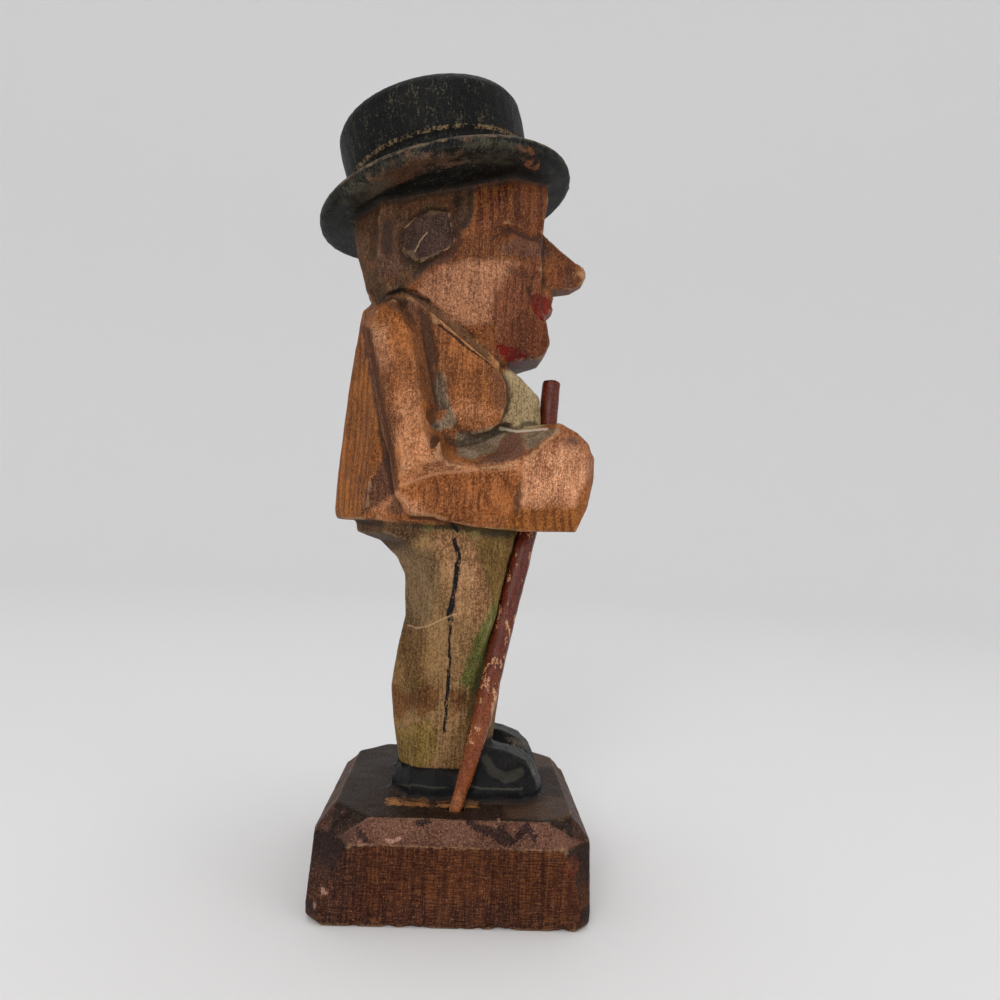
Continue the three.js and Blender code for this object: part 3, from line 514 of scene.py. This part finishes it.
def uneven(points):
    """The points, pushed about a little so that no painted edge is straight."""
    noise.seed_set(SEED)
    pushed = np.array([tuple(noise.noise_vector(Vector(point) * 0.4)) for point in points])
    x, y, z = (points + 0.55 * pushed).T
    return x, np.abs(y), z


def ellipse(shape, x, z):
    """1 in the middle of an ellipse, falling to 0 past its rim."""
    px, pz, wide, tall, lean = shape
    turn = math.radians(lean)
    along = (x - px) * math.cos(turn) + (z - pz) * math.sin(turn)
    across = (z - pz) * math.cos(turn) - (x - px) * math.sin(turn)
    return 1.0 - smooth(0.55, 1.25, np.hypot(along / wide, across / tall))


def share_of(shape, limits, place, soft=0.3):
    """How much of a shape each place has, between two distances from the middle plane."""
    x, side, z = place
    near, far = limits
    flat = smooth(-soft, soft, inside(shape, x, z)) if isinstance(shape, list) else ellipse(shape, x, z)
    return flat * smooth(near - 0.5, near, side) * smooth(-far - 0.5, -far, -side)


def laid(layers, place):
    """Coloured shapes laid over each other: a colour and how strongly it covers."""
    colour = np.zeros((len(place[0]), 3))
    cover = np.zeros(len(place[0]))
    for shape, limits, tint, strength in layers:
        weight = strength * share_of(shape, limits, place)
        colour += weight[:, None] * (np.array(tint) - colour)
        cover += weight * (1.0 - cover)
    return np.concatenate([colour / np.maximum(cover, 1e-3)[:, None], cover[:, None]], axis=1)


def strongest(layers, place):
    """The greatest strength of the soft shapes over each place."""
    result = np.zeros(len(place[0]))
    for shape, limits, strength in layers:
        result = np.maximum(result, strength * share_of(shape, limits, place, 1.1))
    return result


# How much each area hides the wood's grain, and how rough it is, laid one over the other
BARE_ROUGHNESS = 0.46
COVERS = [
    ("face", 0.0, 0.42), ("trousers", 0.4, 0.5), ("shirt", 0.9, 0.7), ("hair", 0.55, 0.46),
    ("plinth", 0.1, 0.5), ("plinth_corner", 0.75, 0.5), ("shoes", 1.0, 0.36), ("hat", 1.0, 0.5),
]


def figure_paint(skin):
    """Stores every zone, stain, flake, painted sheen, wear, painted crease shade and gloss value that the
    material reads.
    """
    points = skin.points
    area = zones(points)
    for name, distance in area.items():
        skin.keep(name, distance)
    place = uneven(points)
    skin.keep("stain", laid(FACETS, place))
    height, radius = hat_place(points)
    flake = laid(FLAKES, place)
    flake[:, 3] *= np.maximum(smooth(17.0, 19.0, radius), smooth(1.0, 2.0, -height))
    skin.keep("flake", flake)
    # The painted sheen: how strongly each place shows pale grain for the light its facet catches
    skin.keep("painted_sheen", strongest(SHEEN_FACETS, place))
    skin.keep("barred", strongest(BARRED, place))
    fine_bend = skin.eased(skin.bend(1), 1)
    broad_bend = skin.eased(skin.bend(5), 3)
    z = points[:, 2]
    upright = smooth(0.5, 1.3, z) * smooth(0.4, 1.2, PLINTH["chamfer_z"] - z)
    skin.keep("edge", np.clip(-fine_bend * 16.0 - broad_bend * 3.0, 0.0, 1.0) * (1.0 - 0.9 * upright))
    skin.keep("crease", np.clip(fine_bend * 14.0 + broad_bend * 9.0, 0.0, 1.0))
    skin.keep("hat_height", height)
    skin.keep("hat_radius", radius)
    covered = np.zeros(len(points))
    rough = np.full(len(points), BARE_ROUGHNESS)
    for name, opacity, roughness in COVERS:
        share = smooth(-0.2, 0.2, area[name])
        covered += share * (opacity - covered)
        rough += share * (roughness - rough)
    skin.keep("grain", 1.0 - covered)
    skin.keep("rough", rough)


class Nodes:
    """Adds nodes to one tree, with every input set to a value or linked to an output."""

    def __init__(self, tree):
        self.tree = tree

    def put(self, kind, sockets, **settings):
        node = self.tree.nodes.new("ShaderNode" + kind)
        for name, value in settings.items():
            setattr(node, name, value)
        for key, value in sockets.items():
            if isinstance(value, bpy.types.NodeSocket):
                self.tree.links.new(value, node.inputs[key])
            else:
                node.inputs[key].default_value = value
        return node

    def math(self, operation, a, b=0.0):
        return self.put("Math", {0: a, 1: b}, operation=operation).outputs[0]

    def vector(self, operation, a, b=(0.0, 0.0, 0.0), output="Vector"):
        return self.put("VectorMath", {0: a, 1: b}, operation=operation).outputs[output]

    def chain(self, operation, values):
        result = values[0]
        for value in values[1:]:
            result = self.math(operation, result, value)
        return result

    def times(self, *values):
        return self.chain("MULTIPLY", values)

    def plus(self, *values):
        return self.chain("ADD", values)


class Paint(Nodes):
    """The nodes of one procedural material, added step by step. Places are in millimetres."""

    def __init__(self, name):
        self.material = bpy.data.materials.new(name)
        self.material.use_nodes = True
        super().__init__(self.material.node_tree)
        self.shader = self.tree.nodes["Principled BSDF"]
        place = self.tree.nodes.new("ShaderNodeTexCoord").outputs["Object"]
        self.place = self.put("VectorMath", {0: place, "Scale": 1.0 / MM}, operation="SCALE").outputs[0]
        self.fields = {}

    def step(self, value, low, high, start=0.0, end=1.0):
        return self.put("MapRange", {
            "Value": value, "From Min": low, "From Max": high, "To Min": start, "To Max": end,
        }, interpolation_type="SMOOTHSTEP").outputs[0]

    def band(self, value, low, high, soft):
        """1 between two values, with soft ends."""
        return self.times(self.step(value, low - soft, low), self.step(value, high, high + soft, 1.0, 0.0))

    def field(self, name):
        """One of the numbers kept at each point of the skin."""
        if name not in self.fields:
            self.fields[name] = self.put("Attribute", {}, attribute_name=name).outputs["Fac"]
        return self.fields[name]

    def noise(self, stretch, detail=3.0, roughness=0.6, shift=(0.0, 0.0, 0.0)):
        moved = self.vector("ADD", self.vector("MULTIPLY", self.place, stretch), shift)
        return self.put("TexNoise", {
            "Vector": moved, "Scale": 1.0, "Detail": detail, "Roughness": roughness,
        }).outputs["Fac"]

    def spread(self, value, low, high, weight):
        """A noise stretched to swing between minus and plus half its weight."""
        return self.times(self.plus(self.step(value, low, high), -0.5), weight)

    def mix(self, share, a, b, blend="MIX"):
        as_colour = [(*c, 1.0) if isinstance(c, tuple) else c for c in (a, b)]
        sockets = {0: share, 6: as_colour[0], 7: as_colour[1]}
        return self.put("Mix", sockets, data_type="RGBA", blend_type=blend).outputs[2]

    def finish(self, colour, gloss, specular, bumps):
        """Joins colour, roughness and the bumps, noises with their heights in mm, to the shader."""
        self.tree.links.new(colour, self.shader.inputs["Base Color"])
        self.tree.links.new(gloss, self.shader.inputs["Roughness"])
        self.shader.inputs["Specular IOR Level"].default_value = specular
        height = self.plus(*[self.times(value, depth) for value, depth in bumps])
        bump = self.put("Bump", {"Height": height, "Strength": 1.0, "Distance": MM})
        self.tree.links.new(bump.outputs["Normal"], self.shader.inputs["Normal"])
        return self.material


class Brush:
    """Straight strokes seen from the side, drawn by one node group, uneven at their edges."""

    def __init__(self, paint, ragged, blotches):
        self.paint = paint
        self.group = bpy.data.node_groups.new("stroke", "ShaderNodeTree")
        for name, kind in (("Place", "Vector"), ("A", "Vector"), ("B", "Vector"), ("Width", "Float")):
            self.group.interface.new_socket(name, in_out="INPUT", socket_type=f"NodeSocket{kind}")
        self.group.interface.new_socket("Mask", in_out="OUTPUT", socket_type="NodeSocketFloat")
        self.fill_group()
        sideways = paint.plus(ragged, paint.spread(blotches, 0.3, 0.7, 0.3))
        shake = paint.put("CombineXYZ", {"X": sideways, "Z": ragged}).outputs[0]
        self.place = paint.vector("MULTIPLY", paint.vector("ADD", paint.place, shake), (1.0, 0.0, 1.0))
        self.right = paint.times(paint.put("SeparateXYZ", {0: paint.place}).outputs["Y"], -1.0)

    def fill_group(self):
        """1 on the line from A to B, falling to 0 at the width and below it farther off."""
        nodes = Nodes(self.group)
        given = self.group.nodes.new("NodeGroupInput").outputs
        away = nodes.vector("SUBTRACT", given["Place"], given["A"])
        along = nodes.vector("SUBTRACT", given["B"], given["A"])
        share = nodes.math(
            "DIVIDE", nodes.vector("DOT_PRODUCT", away, along, "Value"),
            nodes.vector("DOT_PRODUCT", along, along, "Value"))
        share = nodes.math("MINIMUM", nodes.math("MAXIMUM", share, 0.0), 1.0)
        foot = nodes.put("VectorMath", {0: along, "Scale": share}, operation="SCALE").outputs[0]
        distance = nodes.vector("LENGTH", nodes.vector("SUBTRACT", away, foot), output="Value")
        mask = nodes.math("SUBTRACT", 1.0, nodes.math("DIVIDE", distance, given["Width"]))
        self.group.links.new(mask, self.group.nodes.new("NodeGroupOutput").inputs["Mask"])

    def line(self, places, widths, near=6.0, both_sides=False):
        """1 along the row of (X, Z) places, past a distance from the middle plane, on one or both sides."""
        if isinstance(widths, float):
            widths = [widths] * (len(places) - 1)
        drawn = 0.0
        for (ax, az), (bx, bz), width in zip(places, places[1:], widths):
            stroke = self.paint.put("Group", {
                "Place": self.place, "A": (ax, 0.0, az), "B": (bx, 0.0, bz), "Width": width,
            }, node_tree=self.group)
            drawn = self.paint.math("MAXIMUM", stroke.outputs["Mask"], drawn)
        side = self.paint.math("ABSOLUTE", self.right) if both_sides else self.right
        return self.paint.times(
            self.paint.step(drawn, 0.0, 0.5), self.paint.step(side, near - 0.3, near + 0.3))


# The middle of the trunk's growth rings, far behind him, and how little a ring leans over his height
TRUNK_SHIFT = (70.0, -34.0, 0.0)
TRUNK_LEAN = (1.0, 1.0, 0.012)
RING_SPACING = 1.5

# What the lowest and the highest of the wood's fine texture turn a stain into
DEEP_TONE = (0.44, 0.35, 0.29)
BRIGHT_TONE = (1.56, 1.62, 1.72)
RING_TONE = (0.32, 0.18, 0.12)
SAWN_TONE = (0.3, 0.24, 0.22)
# Dirt with painted shade, laid in the creases
CREASE_SHADE_AND_DIRT = (0.02, 0.015, 0.012)

# Lines drawn or scratched on the figure, with painted shadows and highlights, as (X, Z) places
STRIPE = [
    (-2.0, 57.7), (-1.3, 54.7), (-1.8, 48.1), (-2.4, 45.4), (-2.0, 44.5), (-1.9, 36.2), (-2.0, 28.8),
    (-2.2, 25.8),
]
STRIPE_WIDTHS = [0.5, 0.55, 0.62, 0.66, 0.28, 0.36, 0.3]
STRIPE_TOP = [(-2.6, 60.3), (-1.7, 59.2)]
KNEE_SCRATCH = [(-9.2, 42.9), (-7.4, 42.7), (-5.7, 43.3), (-3.1, 44.7), (-1.2, 45.5)]
COLLAR_LINE = [(-6.3, 93.2), (-4.4, 92.0), (-2.2, 90.4), (0.2, 89.0), (2.4, 87.6)]
COLLAR_WIDTHS = [0.3, 0.3, 0.22, 0.16]
# A painted shadow in the gap between the nape and the shoulder
NAPE_SHADOW = [(-17.4, 96.8), (-15.6, 98.2), (-13.2, 99.3), (-8.6, 97.7)]
# A painted shadow along the sleeve's back edge
SLEEVE_SHADOW = [(-17.7, 91.0), (-15.2, 80.8), (-12.0, 68.4), (-11.6, 65.5)]
SHIRT_EDGE = [(4.9, 77.5), (7.8, 76.9), (12.4, 77.1)]
JOWL_LINE = [(2.7, 99.9), (2.9, 94.4)]
BROW_LINE = [(1.3, 108.3), (4.6, 111.2), (7.5, 110.6), (10.4, 111.0)]
EAR_RIDGE = [(-9.3, 108.4), (-10.3, 107.0), (-11.1, 105.0)]
# Worn paint and a painted highlight on the shoe's instep
INSTEP_WEAR_AND_HIGHLIGHT = [(4.9, 21.6), (6.0, 20.0), (8.2, 18.9), (10.8, 19.7)]
# Painted highlights along the heel
HEEL_HIGHLIGHT = [(-9.6, 16.4), (-6.8, 17.4), (-1.4, 17.3)]
# A painted highlight along the forearm's ridge
FOREARM_HIGHLIGHT = [(-11.1, 66.0), (-5.6, 68.2), (1.0, 69.2)]
# A painted highlight along the sole's edge
SOLE_HIGHLIGHT = [(1.2, 18.1), (4.5, 17.5), (11.1, 17.5)]

# Each line with its width, its least distance from the middle plane, its strength and its colour
DRAWN_LINES = [
    (COLLAR_LINE, COLLAR_WIDTHS, 5.0, 0.85, CLOTHES["black"]), (NAPE_SHADOW, 0.34, 8.0, 0.7, CLOTHES["black"]),
    (SLEEVE_SHADOW, 0.5, 10.0, 0.6, FACE["umber"]), (BROW_LINE, 0.3, 3.0, 0.8, FACE["umber"]),
    (JOWL_LINE, 0.35, 5.0, 0.55, FACE["umber"]), (EAR_RIDGE, 0.13, 11.5, 0.4, PINE["pale"]),
    (FOREARM_HIGHLIGHT, 0.3, 13.0, 0.45, PINE["sheen"]), (KNEE_SCRATCH, 0.2, 3.0, 0.4, PINE["pale"]),
    (SOLE_HIGHLIGHT, 0.2, 7.0, 0.42, CLOTHES["grey"]), (INSTEP_WEAR_AND_HIGHLIGHT, 0.9, 6.0, 0.3, CLOTHES["grey"]),
    (HEEL_HIGHLIGHT, 0.2, 7.0, 0.3, CLOTHES["grey"]),
]


class PaintedPine(Paint):
    """Stain, paint and wear of the carving, one layer after another, with the noises they share."""

    def __init__(self):
        super().__init__("painted_pine")
        self.ragged = self.times(self.plus(self.noise((1.4, 1.4, 1.0), 3.0, 0.7), -0.5), 0.5)
        self.fibres = self.noise((3.4, 3.4, 0.16), 3.0, 0.65)
        self.speckle = self.noise((2.4, 2.4, 2.0), 3.0, 0.75, shift=(3.0, 9.0, 4.0))
        self.grit = self.noise((5.0, 5.0, 5.0), 3.0, 0.8)
        self.clouds = self.noise((0.16, 0.16, 0.1), 2.0, 0.6, shift=(2.0, 5.0, 8.0))
        self.blotches = self.noise((0.55, 0.55, 0.35), 3.0, 0.65)
        self.streaks = self.noise((2.6, 2.6, 0.6), 3.0, 0.75, shift=(1.0, 2.0, 3.0))
        self.grain = self.field("grain")
        self.torn = self.step(self.streaks, 0.36, 0.42)

    def covered(self, name, softness=0.12):
        """1 inside a painted area, with a ragged rim."""
        return self.step(self.plus(self.field(name), self.ragged), -softness, softness)

    def table(self, name):
        """The colour and the strength of the shapes laid on the skin."""
        node = self.put("Attribute", {}, attribute_name=name)
        return node.outputs["Color"], node.outputs["Alpha"]

    def areas(self):
        """The stain or paint of every area, before any texture."""
        trousers = self.mix(self.step(self.clouds, 0.36, 0.64), CLOTHES["trousers"], CLOTHES["tan"])
        trousers = self.mix(self.step(self.blotches, 0.54, 0.66, 0.0, 0.4), trousers, CLOTHES["olive"])
        face = self.mix(self.step(self.blotches, 0.4, 0.62), FACE["brow"], FACE["nose"])
        hair = self.mix(self.step(self.blotches, 0.42, 0.62), HAIR["brown"], HAIR["rust"])
        low_side = self.covered("plinth_side", 0.1)
        # The plinth's top: a dark stain darkened further as painted shade
        plinth = self.mix(self.covered("plinth_top"), BASE["chamfer"], BASE["top"])
        plinth = self.mix(low_side, plinth, BASE["side"])
        plinth = self.mix(self.times(self.covered("plinth_corner"), low_side), plinth, BASE["corner"])
        colour = self.mix(self.step(self.clouds, 0.35, 0.65), PINE["coat"], PINE["orange"])
        for name, paint in (("trousers", trousers), ("shirt", CLOTHES["shirt"]),
                            ("collar", CLOTHES["collar"]), ("face", face), ("hair", hair)):
            colour = self.mix(self.covered(name), colour, paint)
        colour = self.mix(self.covered("plinth", 0.06), colour, plinth)
        stain, strength = self.table("stain")
        colour = self.mix(strength, colour, stain)
        for name, paint in (("ear", HAIR["ear"]), ("lips", FACE["lips"]), ("shoes", CLOTHES["black"])):
            colour = self.mix(self.covered(name), colour, paint)
        return self.mix(self.covered("hat", 0.08), colour, HAT_PAINT["black"])

    def rings_and_shine(self, colour):
        """Growth rings, dark on the line of each year, a painted sheen of pale pinkish grain on the facets
        that catch the light, and painted glints on bare grain.
        """
        warp = self.noise((0.05, 0.05, 0.012), detail=2.0)
        away = self.vector("MULTIPLY", self.vector("ADD", self.place, TRUNK_SHIFT), TRUNK_LEAN)
        distance = self.plus(self.vector("LENGTH", away, output="Value"), self.times(warp, 16.0))
        year = self.math("FRACT", self.math("DIVIDE", distance, RING_SPACING))
        years = self.times(self.step(year, 0.3, 0.8), self.step(year, 0.88, 0.99, 1.0, 0.0))
        bars = self.plus(0.16, self.times(self.field("barred"), 0.6))
        colour = self.mix(self.times(years, self.grain, bars), colour, RING_TONE, "MULTIPLY")
        threads = self.noise((6.0, 6.0, 1.5), 3.0, 0.75, shift=(6.0, 2.0, 5.0))
        glitter = self.plus(self.times(threads, 0.6), self.times(self.grit, 0.4))
        # Painted sheen: the facets that catch the light turn to pale pinkish grain
        painted_sheen = self.times(self.field("painted_sheen"), self.step(glitter, 0.4, 0.6, 0.4, 1.5),
                            self.step(self.blotches, 0.38, 0.62, 0.7, 1.3))
        colour = self.mix(painted_sheen, colour, PINE["sheen"])
        # Painted glints: pale specks of reflected light over the bare grain
        painted_glints = self.times(self.grain, self.step(glitter, 0.54, 0.62, 0.0, 0.3))
        return self.mix(painted_glints, colour, PINE["sheen"])

    def hat_wear(self, colour):
        """Flecks in streaks, a pale line round the brim's rim, worn paint with a painted highlight, and a tan
        line along the band.
        """
        on_hat = self.covered("hat", 0.08)
        rubbed_through = self.plus(self.times(self.streaks, 0.3), self.times(self.speckle, 0.25),
                                   self.times(self.blotches, 0.2), self.times(self.grit, 0.25))
        for low, share, tint in ((0.52, 0.5, HAT_PAINT["moss"]), (0.56, 0.3, HAT_PAINT["tan"])):
            flecks = self.times(on_hat, self.step(rubbed_through, low, low + 0.04), share)
            colour = self.mix(flecks, colour, tint)
        height = self.plus(self.field("hat_height"), self.ragged)
        radius = self.field("hat_radius")
        # Worn paint and a painted highlight along the brim's upper rim
        brim_highlight = self.times(self.band(height, 1.9, 2.4, 0.25), self.step(radius, 21.8, 22.4))
        brim_highlight = self.times(brim_highlight, self.step(self.blotches, 0.4, 0.52), 0.5)
        colour = self.mix(brim_highlight, colour, HAT_PAINT["tan"])
        line = self.times(self.band(height, HAT["band_top"] + 0.2, HAT["band_top"] + 0.5, 0.25),
                          self.band(radius, 14.9, 17.6, 0.4))
        patchy = self.plus(self.times(self.blotches, 0.5), self.times(self.speckle, 0.5))
        return self.mix(self.times(line, self.step(patchy, 0.45, 0.56, 0.0, 0.85)), colour, HAT_PAINT["tan"])

    def flakes(self, colour):
        """Flaked paint and scuffs with torn edges."""
        flake, strength = self.table("flake")
        flecks = self.plus(0.5, self.spread(self.blotches, 0.36, 0.64, 0.5),
                           self.spread(self.speckle, 0.36, 0.64, 0.4))
        flaked = self.step(self.plus(strength, self.times(flecks, -1.0)), -0.08, 0.08)
        return self.mix(self.times(flaked, 0.92), colour, flake)

    def wood_texture(self, colour):
        """The fine texture of stained wood, with pale specks of painted glint where it is bare."""
        tone = self.plus(0.46, self.spread(self.fibres, 0.34, 0.66, 0.42),
                         self.spread(self.speckle, 0.36, 0.64, 0.65),
                         self.spread(self.grit, 0.38, 0.62, 0.55),
                         self.spread(self.clouds, 0.35, 0.65, 0.4))
        colour = self.mix(1.0, colour, self.mix(tone, DEEP_TONE, BRIGHT_TONE), "MULTIPLY")
        # Painted glints: pale specks where the bare grain would catch the light
        painted_sparkle = self.times(self.step(self.grit, 0.6, 0.68), self.plus(0.04, self.times(self.grain, 0.3)))
        return self.mix(painted_sparkle, colour, PINE["pale"])

    def saw_marks(self, colour):
        """Saw marks that cross the grain on the plinth's sides."""
        on_side = self.times(self.covered("plinth"), self.covered("plinth_side"))
        saw = self.noise((0.5, 0.5, 5.0), 3.0, 0.7)
        weave = self.plus(self.spread(saw, 0.38, 0.62, 0.6), self.spread(self.fibres, 0.38, 0.62, 0.6))
        sawn = self.times(on_side, self.step(weave, 0.0, 0.35), 0.75)
        colour = self.mix(sawn, colour, SAWN_TONE, "MULTIPLY")
        flat_side = self.times(on_side, self.step(self.field("plinth_corner"), -0.3, 0.1, 1.0, 0.0))
        return self.mix(self.times(flat_side, self.step(weave, -0.1, -0.5), 0.5), colour, PINE["coat"])

    def small_marks(self, colour):
        """Dark specks on the shirt, a pale rim round the ear."""
        specks = self.times(self.covered("shirt"), self.step(self.speckle, 0.58, 0.66), 0.4)
        colour = self.mix(specks, colour, CLOTHES["black"])
        rim = self.band(self.plus(self.field("ear"), self.times(self.ragged, 1.6)), 0.05, 0.2, 0.12)
        return self.mix(self.times(rim, self.step(self.blotches, 0.46, 0.58), 0.4), colour, PINE["pale"])

    def shade_dirt_and_worn_edges(self, colour):
        """Dirt and painted shade darkening the creases, bare wood along the edges."""
        crease = self.plus(self.field("crease"), self.ragged)
        # Painted shade with dirt: the creases darkened
        colour = self.mix(self.step(crease, 0.2, 0.9, 0.0, 0.65), colour, CREASE_SHADE_AND_DIRT)
        edge = self.plus(self.field("edge"), self.times(self.ragged, 2.6))
        bare = self.mix(self.grain, HAT_PAINT["moss"], PINE["pale"])
        return self.mix(self.step(edge, 0.62, 1.05, 0.0, 0.3), colour, bare)

    def lines(self, colour):
        """The trouser stripe, the drawn collar and brow, painted shadows and highlights, and the pale slips
        of the knife.
        """
        brush = Brush(self, self.ragged, self.blotches)
        stripe = self.times(brush.line(STRIPE, STRIPE_WIDTHS, both_sides=True), self.torn)
        colour = self.mix(stripe, colour, CLOTHES["black"])
        colour = self.mix(brush.line(STRIPE_TOP, 0.4), colour, CLOTHES["black"])
        for places, width, near, share, tint in DRAWN_LINES:
            colour = self.mix(self.times(brush.line(places, width, near), share), colour, tint)
        torn_edge = self.times(brush.line(SHIRT_EDGE, 0.34, 2.0), self.torn, 0.8)
        return self.mix(torn_edge, colour, CLOTHES["torn"])

    def made(self):
        """The whole material."""
        colour = self.areas()
        for layer in (self.rings_and_shine, self.hat_wear, self.flakes, self.wood_texture, self.saw_marks,
                      self.small_marks, self.shade_dirt_and_worn_edges, self.lines):
            colour = layer(colour)
        gloss = self.plus(self.field("rough"), self.spread(self.speckle, 0.3, 0.7, 0.2),
                          self.spread(self.clouds, 0.3, 0.7, 0.12), self.times(self.field("painted_sheen"), -0.1))
        return self.finish(colour, gloss, 0.1, [(self.fibres, 0.1), (self.speckle, 0.07)])


def twig_material():
    paint = Paint("varnished_twig")
    long_noise = paint.noise((1.6, 1.6, 0.3), 4.0, 0.65)
    lumps = paint.noise((0.9, 0.9, 0.3), 3.0, 0.6, shift=(5.0, 1.0, 2.0))
    speckle = paint.noise((4.0, 4.0, 3.0), 3.0, 0.75)
    height = paint.put("SeparateXYZ", {0: paint.place}).outputs["Z"]
    wavy_height = paint.plus(height, paint.spread(lumps, 0.3, 0.7, 8.0))
    colour = paint.mix(paint.step(long_noise, 0.35, 0.65), TWIG["bark"], TWIG["dark"])
    colour = paint.mix(paint.step(wavy_height, 26.0, 40.0, 0.85, 0.0), colour, TWIG["low"])
    tan_part = paint.band(height, 26.0, 58.0, 4.0)
    spots = paint.step(paint.plus(lumps, paint.spread(speckle, 0.4, 0.6, 0.06)), 0.595, 0.63)
    colour = paint.mix(paint.times(tan_part, spots, 0.85), colour, TWIG["tan"])
    colour = paint.mix(paint.step(height, 16.5, 19.0, 0.9, 0.0), colour, TWIG["tip"])
    tone = paint.plus(0.5, paint.spread(long_noise, 0.34, 0.66, 0.4), paint.spread(speckle, 0.36, 0.64, 0.6))
    colour = paint.mix(1.0, colour, paint.mix(tone, DEEP_TONE, BRIGHT_TONE), "MULTIPLY")
    colour = paint.mix(paint.times(paint.field("edge"), 0.5), colour, TWIG["tan"])
    gloss = paint.plus(0.24, paint.spread(speckle, 0.3, 0.7, 0.16))
    return paint.finish(colour, gloss, 0.25, [(long_noise, 0.14), (lumps, 0.12), (speckle, 0.04)])


def hand_in(piece, node_name, material):
    piece.data.materials.clear()
    piece.data.materials.append(material)
    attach(piece, "root")
    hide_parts(node_name)


def make_figure():
    figure = fine_skin("villager_on_plinth", "villager_on_plinth_carved", FIGURE_VOXEL)
    skin = Skin(figure)
    figure_relief(skin)
    skin.normals()
    figure_paint(skin)
    hand_in(figure, "villager_on_plinth", PaintedPine().made())


def make_stick():
    stick = fine_skin("walking_stick", "walking_stick_twig", STICK_VOXEL)
    skin = Skin(stick)
    skin.points = skin.eased(skin.points, 3)
    skin.cut(knife_cuts(skin.points, *CUTS["twig"]) - 0.06)
    skin.normals()
    skin.keep("edge", np.clip(-skin.eased(skin.bend(2), 1) * 14.0 - 0.5, 0.0, 1.0))
    hand_in(stick, "walking_stick", twig_material())


def pale_material():
    paint = Paint("pale_floor")
    paint.shader.inputs["Base Color"].default_value = (0.87, 0.87, 0.875, 1.0)
    paint.shader.inputs["Roughness"].default_value = 0.9
    paint.shader.inputs["Specular IOR Level"].default_value = 0.1
    return paint.material


def make_floor():
    """A pale round floor that sweeps up all round into a wall."""
    flat, sweep, wall, turns, steps = 0.6, 0.55, 1.7, 72, 12
    angles = [math.pi / 2 * i / steps for i in range(steps + 1)]
    profile = [(flat + sweep * math.sin(t), sweep - sweep * math.cos(t)) for t in angles]
    profile.append((flat + sweep, wall))
    points = [(0.0, 0.0, 0.0)]
    for radius, z in profile:
        for i in range(turns):
            angle = 2.0 * math.pi * i / turns
            points.append((radius * math.cos(angle), radius * math.sin(angle), z))
    faces = [(0, 1 + i, 1 + (i + 1) % turns) for i in range(turns)]
    for level in range(len(profile) - 1):
        low, high = 1 + level * turns, 1 + (level + 1) * turns
        faces += [(low + i, high + i, high + (i + 1) % turns, low + (i + 1) % turns) for i in range(turns)]
    mesh = bpy.data.meshes.new("floor")
    mesh.from_pydata(points, [], faces)
    mesh.polygons.foreach_set("use_smooth", [True] * len(faces))
    mesh.materials.append(pale_material())
    floor = bpy.data.objects.new("floor", mesh)
    bpy.context.scene.collection.objects.link(floor)


def soft_light(name, place, target, size, watts, colour=(1.0, 1.0, 1.0)):
    light = bpy.data.lights.new(name, "AREA")
    light.shape = "DISK"
    light.size = size
    light.energy = watts
    light.color = colour
    lamp = bpy.data.objects.new(name, light)
    lamp.location = place
    lamp.rotation_euler = (Vector(target) - Vector(place)).to_track_quat("-Z", "Y").to_euler()
    bpy.context.scene.collection.objects.link(lamp)


def light_the_set():
    middle = (0.0, 0.0, 0.07)
    soft_light("key", (-0.12, -0.5, 0.3), middle, 0.3, 1.05, (1.0, 0.97, 0.93))
    soft_light("fill", (0.5, -0.35, 0.12), middle, 0.4, 0.68, (1.0, 0.98, 0.96))
    soft_light("top", (0.0, 0.1, 1.5), middle, 1.2, 5.0)
    world = bpy.data.worlds.new("studio")
    world.use_nodes = True
    background = world.node_tree.nodes["Background"]
    background.inputs["Color"].default_value = (1.0, 1.0, 1.0, 1.0)
    background.inputs["Strength"].default_value = 0.46
    bpy.context.scene.world = world
    bpy.context.scene.view_settings.view_transform = "Standard"


def make_camera():
    """Close to him and level with his waist, seen from his right, as in the photograph."""
    right = Vector((0.9977, -0.0465, 0.0491)).normalized()
    forward = Vector((0.0445, 0.9981, 0.0422)).normalized()
    up = right.cross(forward)
    place = Vector((-0.43, -136.4, 59.4)) * MM
    lens = bpy.data.cameras.new("camera")
    lens.sensor_width = 36.0
    lens.lens = 0.751 * lens.sensor_width
    lens.clip_start = 0.01
    camera = bpy.data.objects.new("camera", lens)
    turn = Matrix((right, up, -forward)).transposed().to_4x4()
    camera.matrix_world = Matrix.Translation(place) @ turn
    bpy.context.scene.collection.objects.link(camera)
    bpy.context.scene.camera = camera


make_figure()
make_stick()
make_floor()
light_the_set()
make_camera()
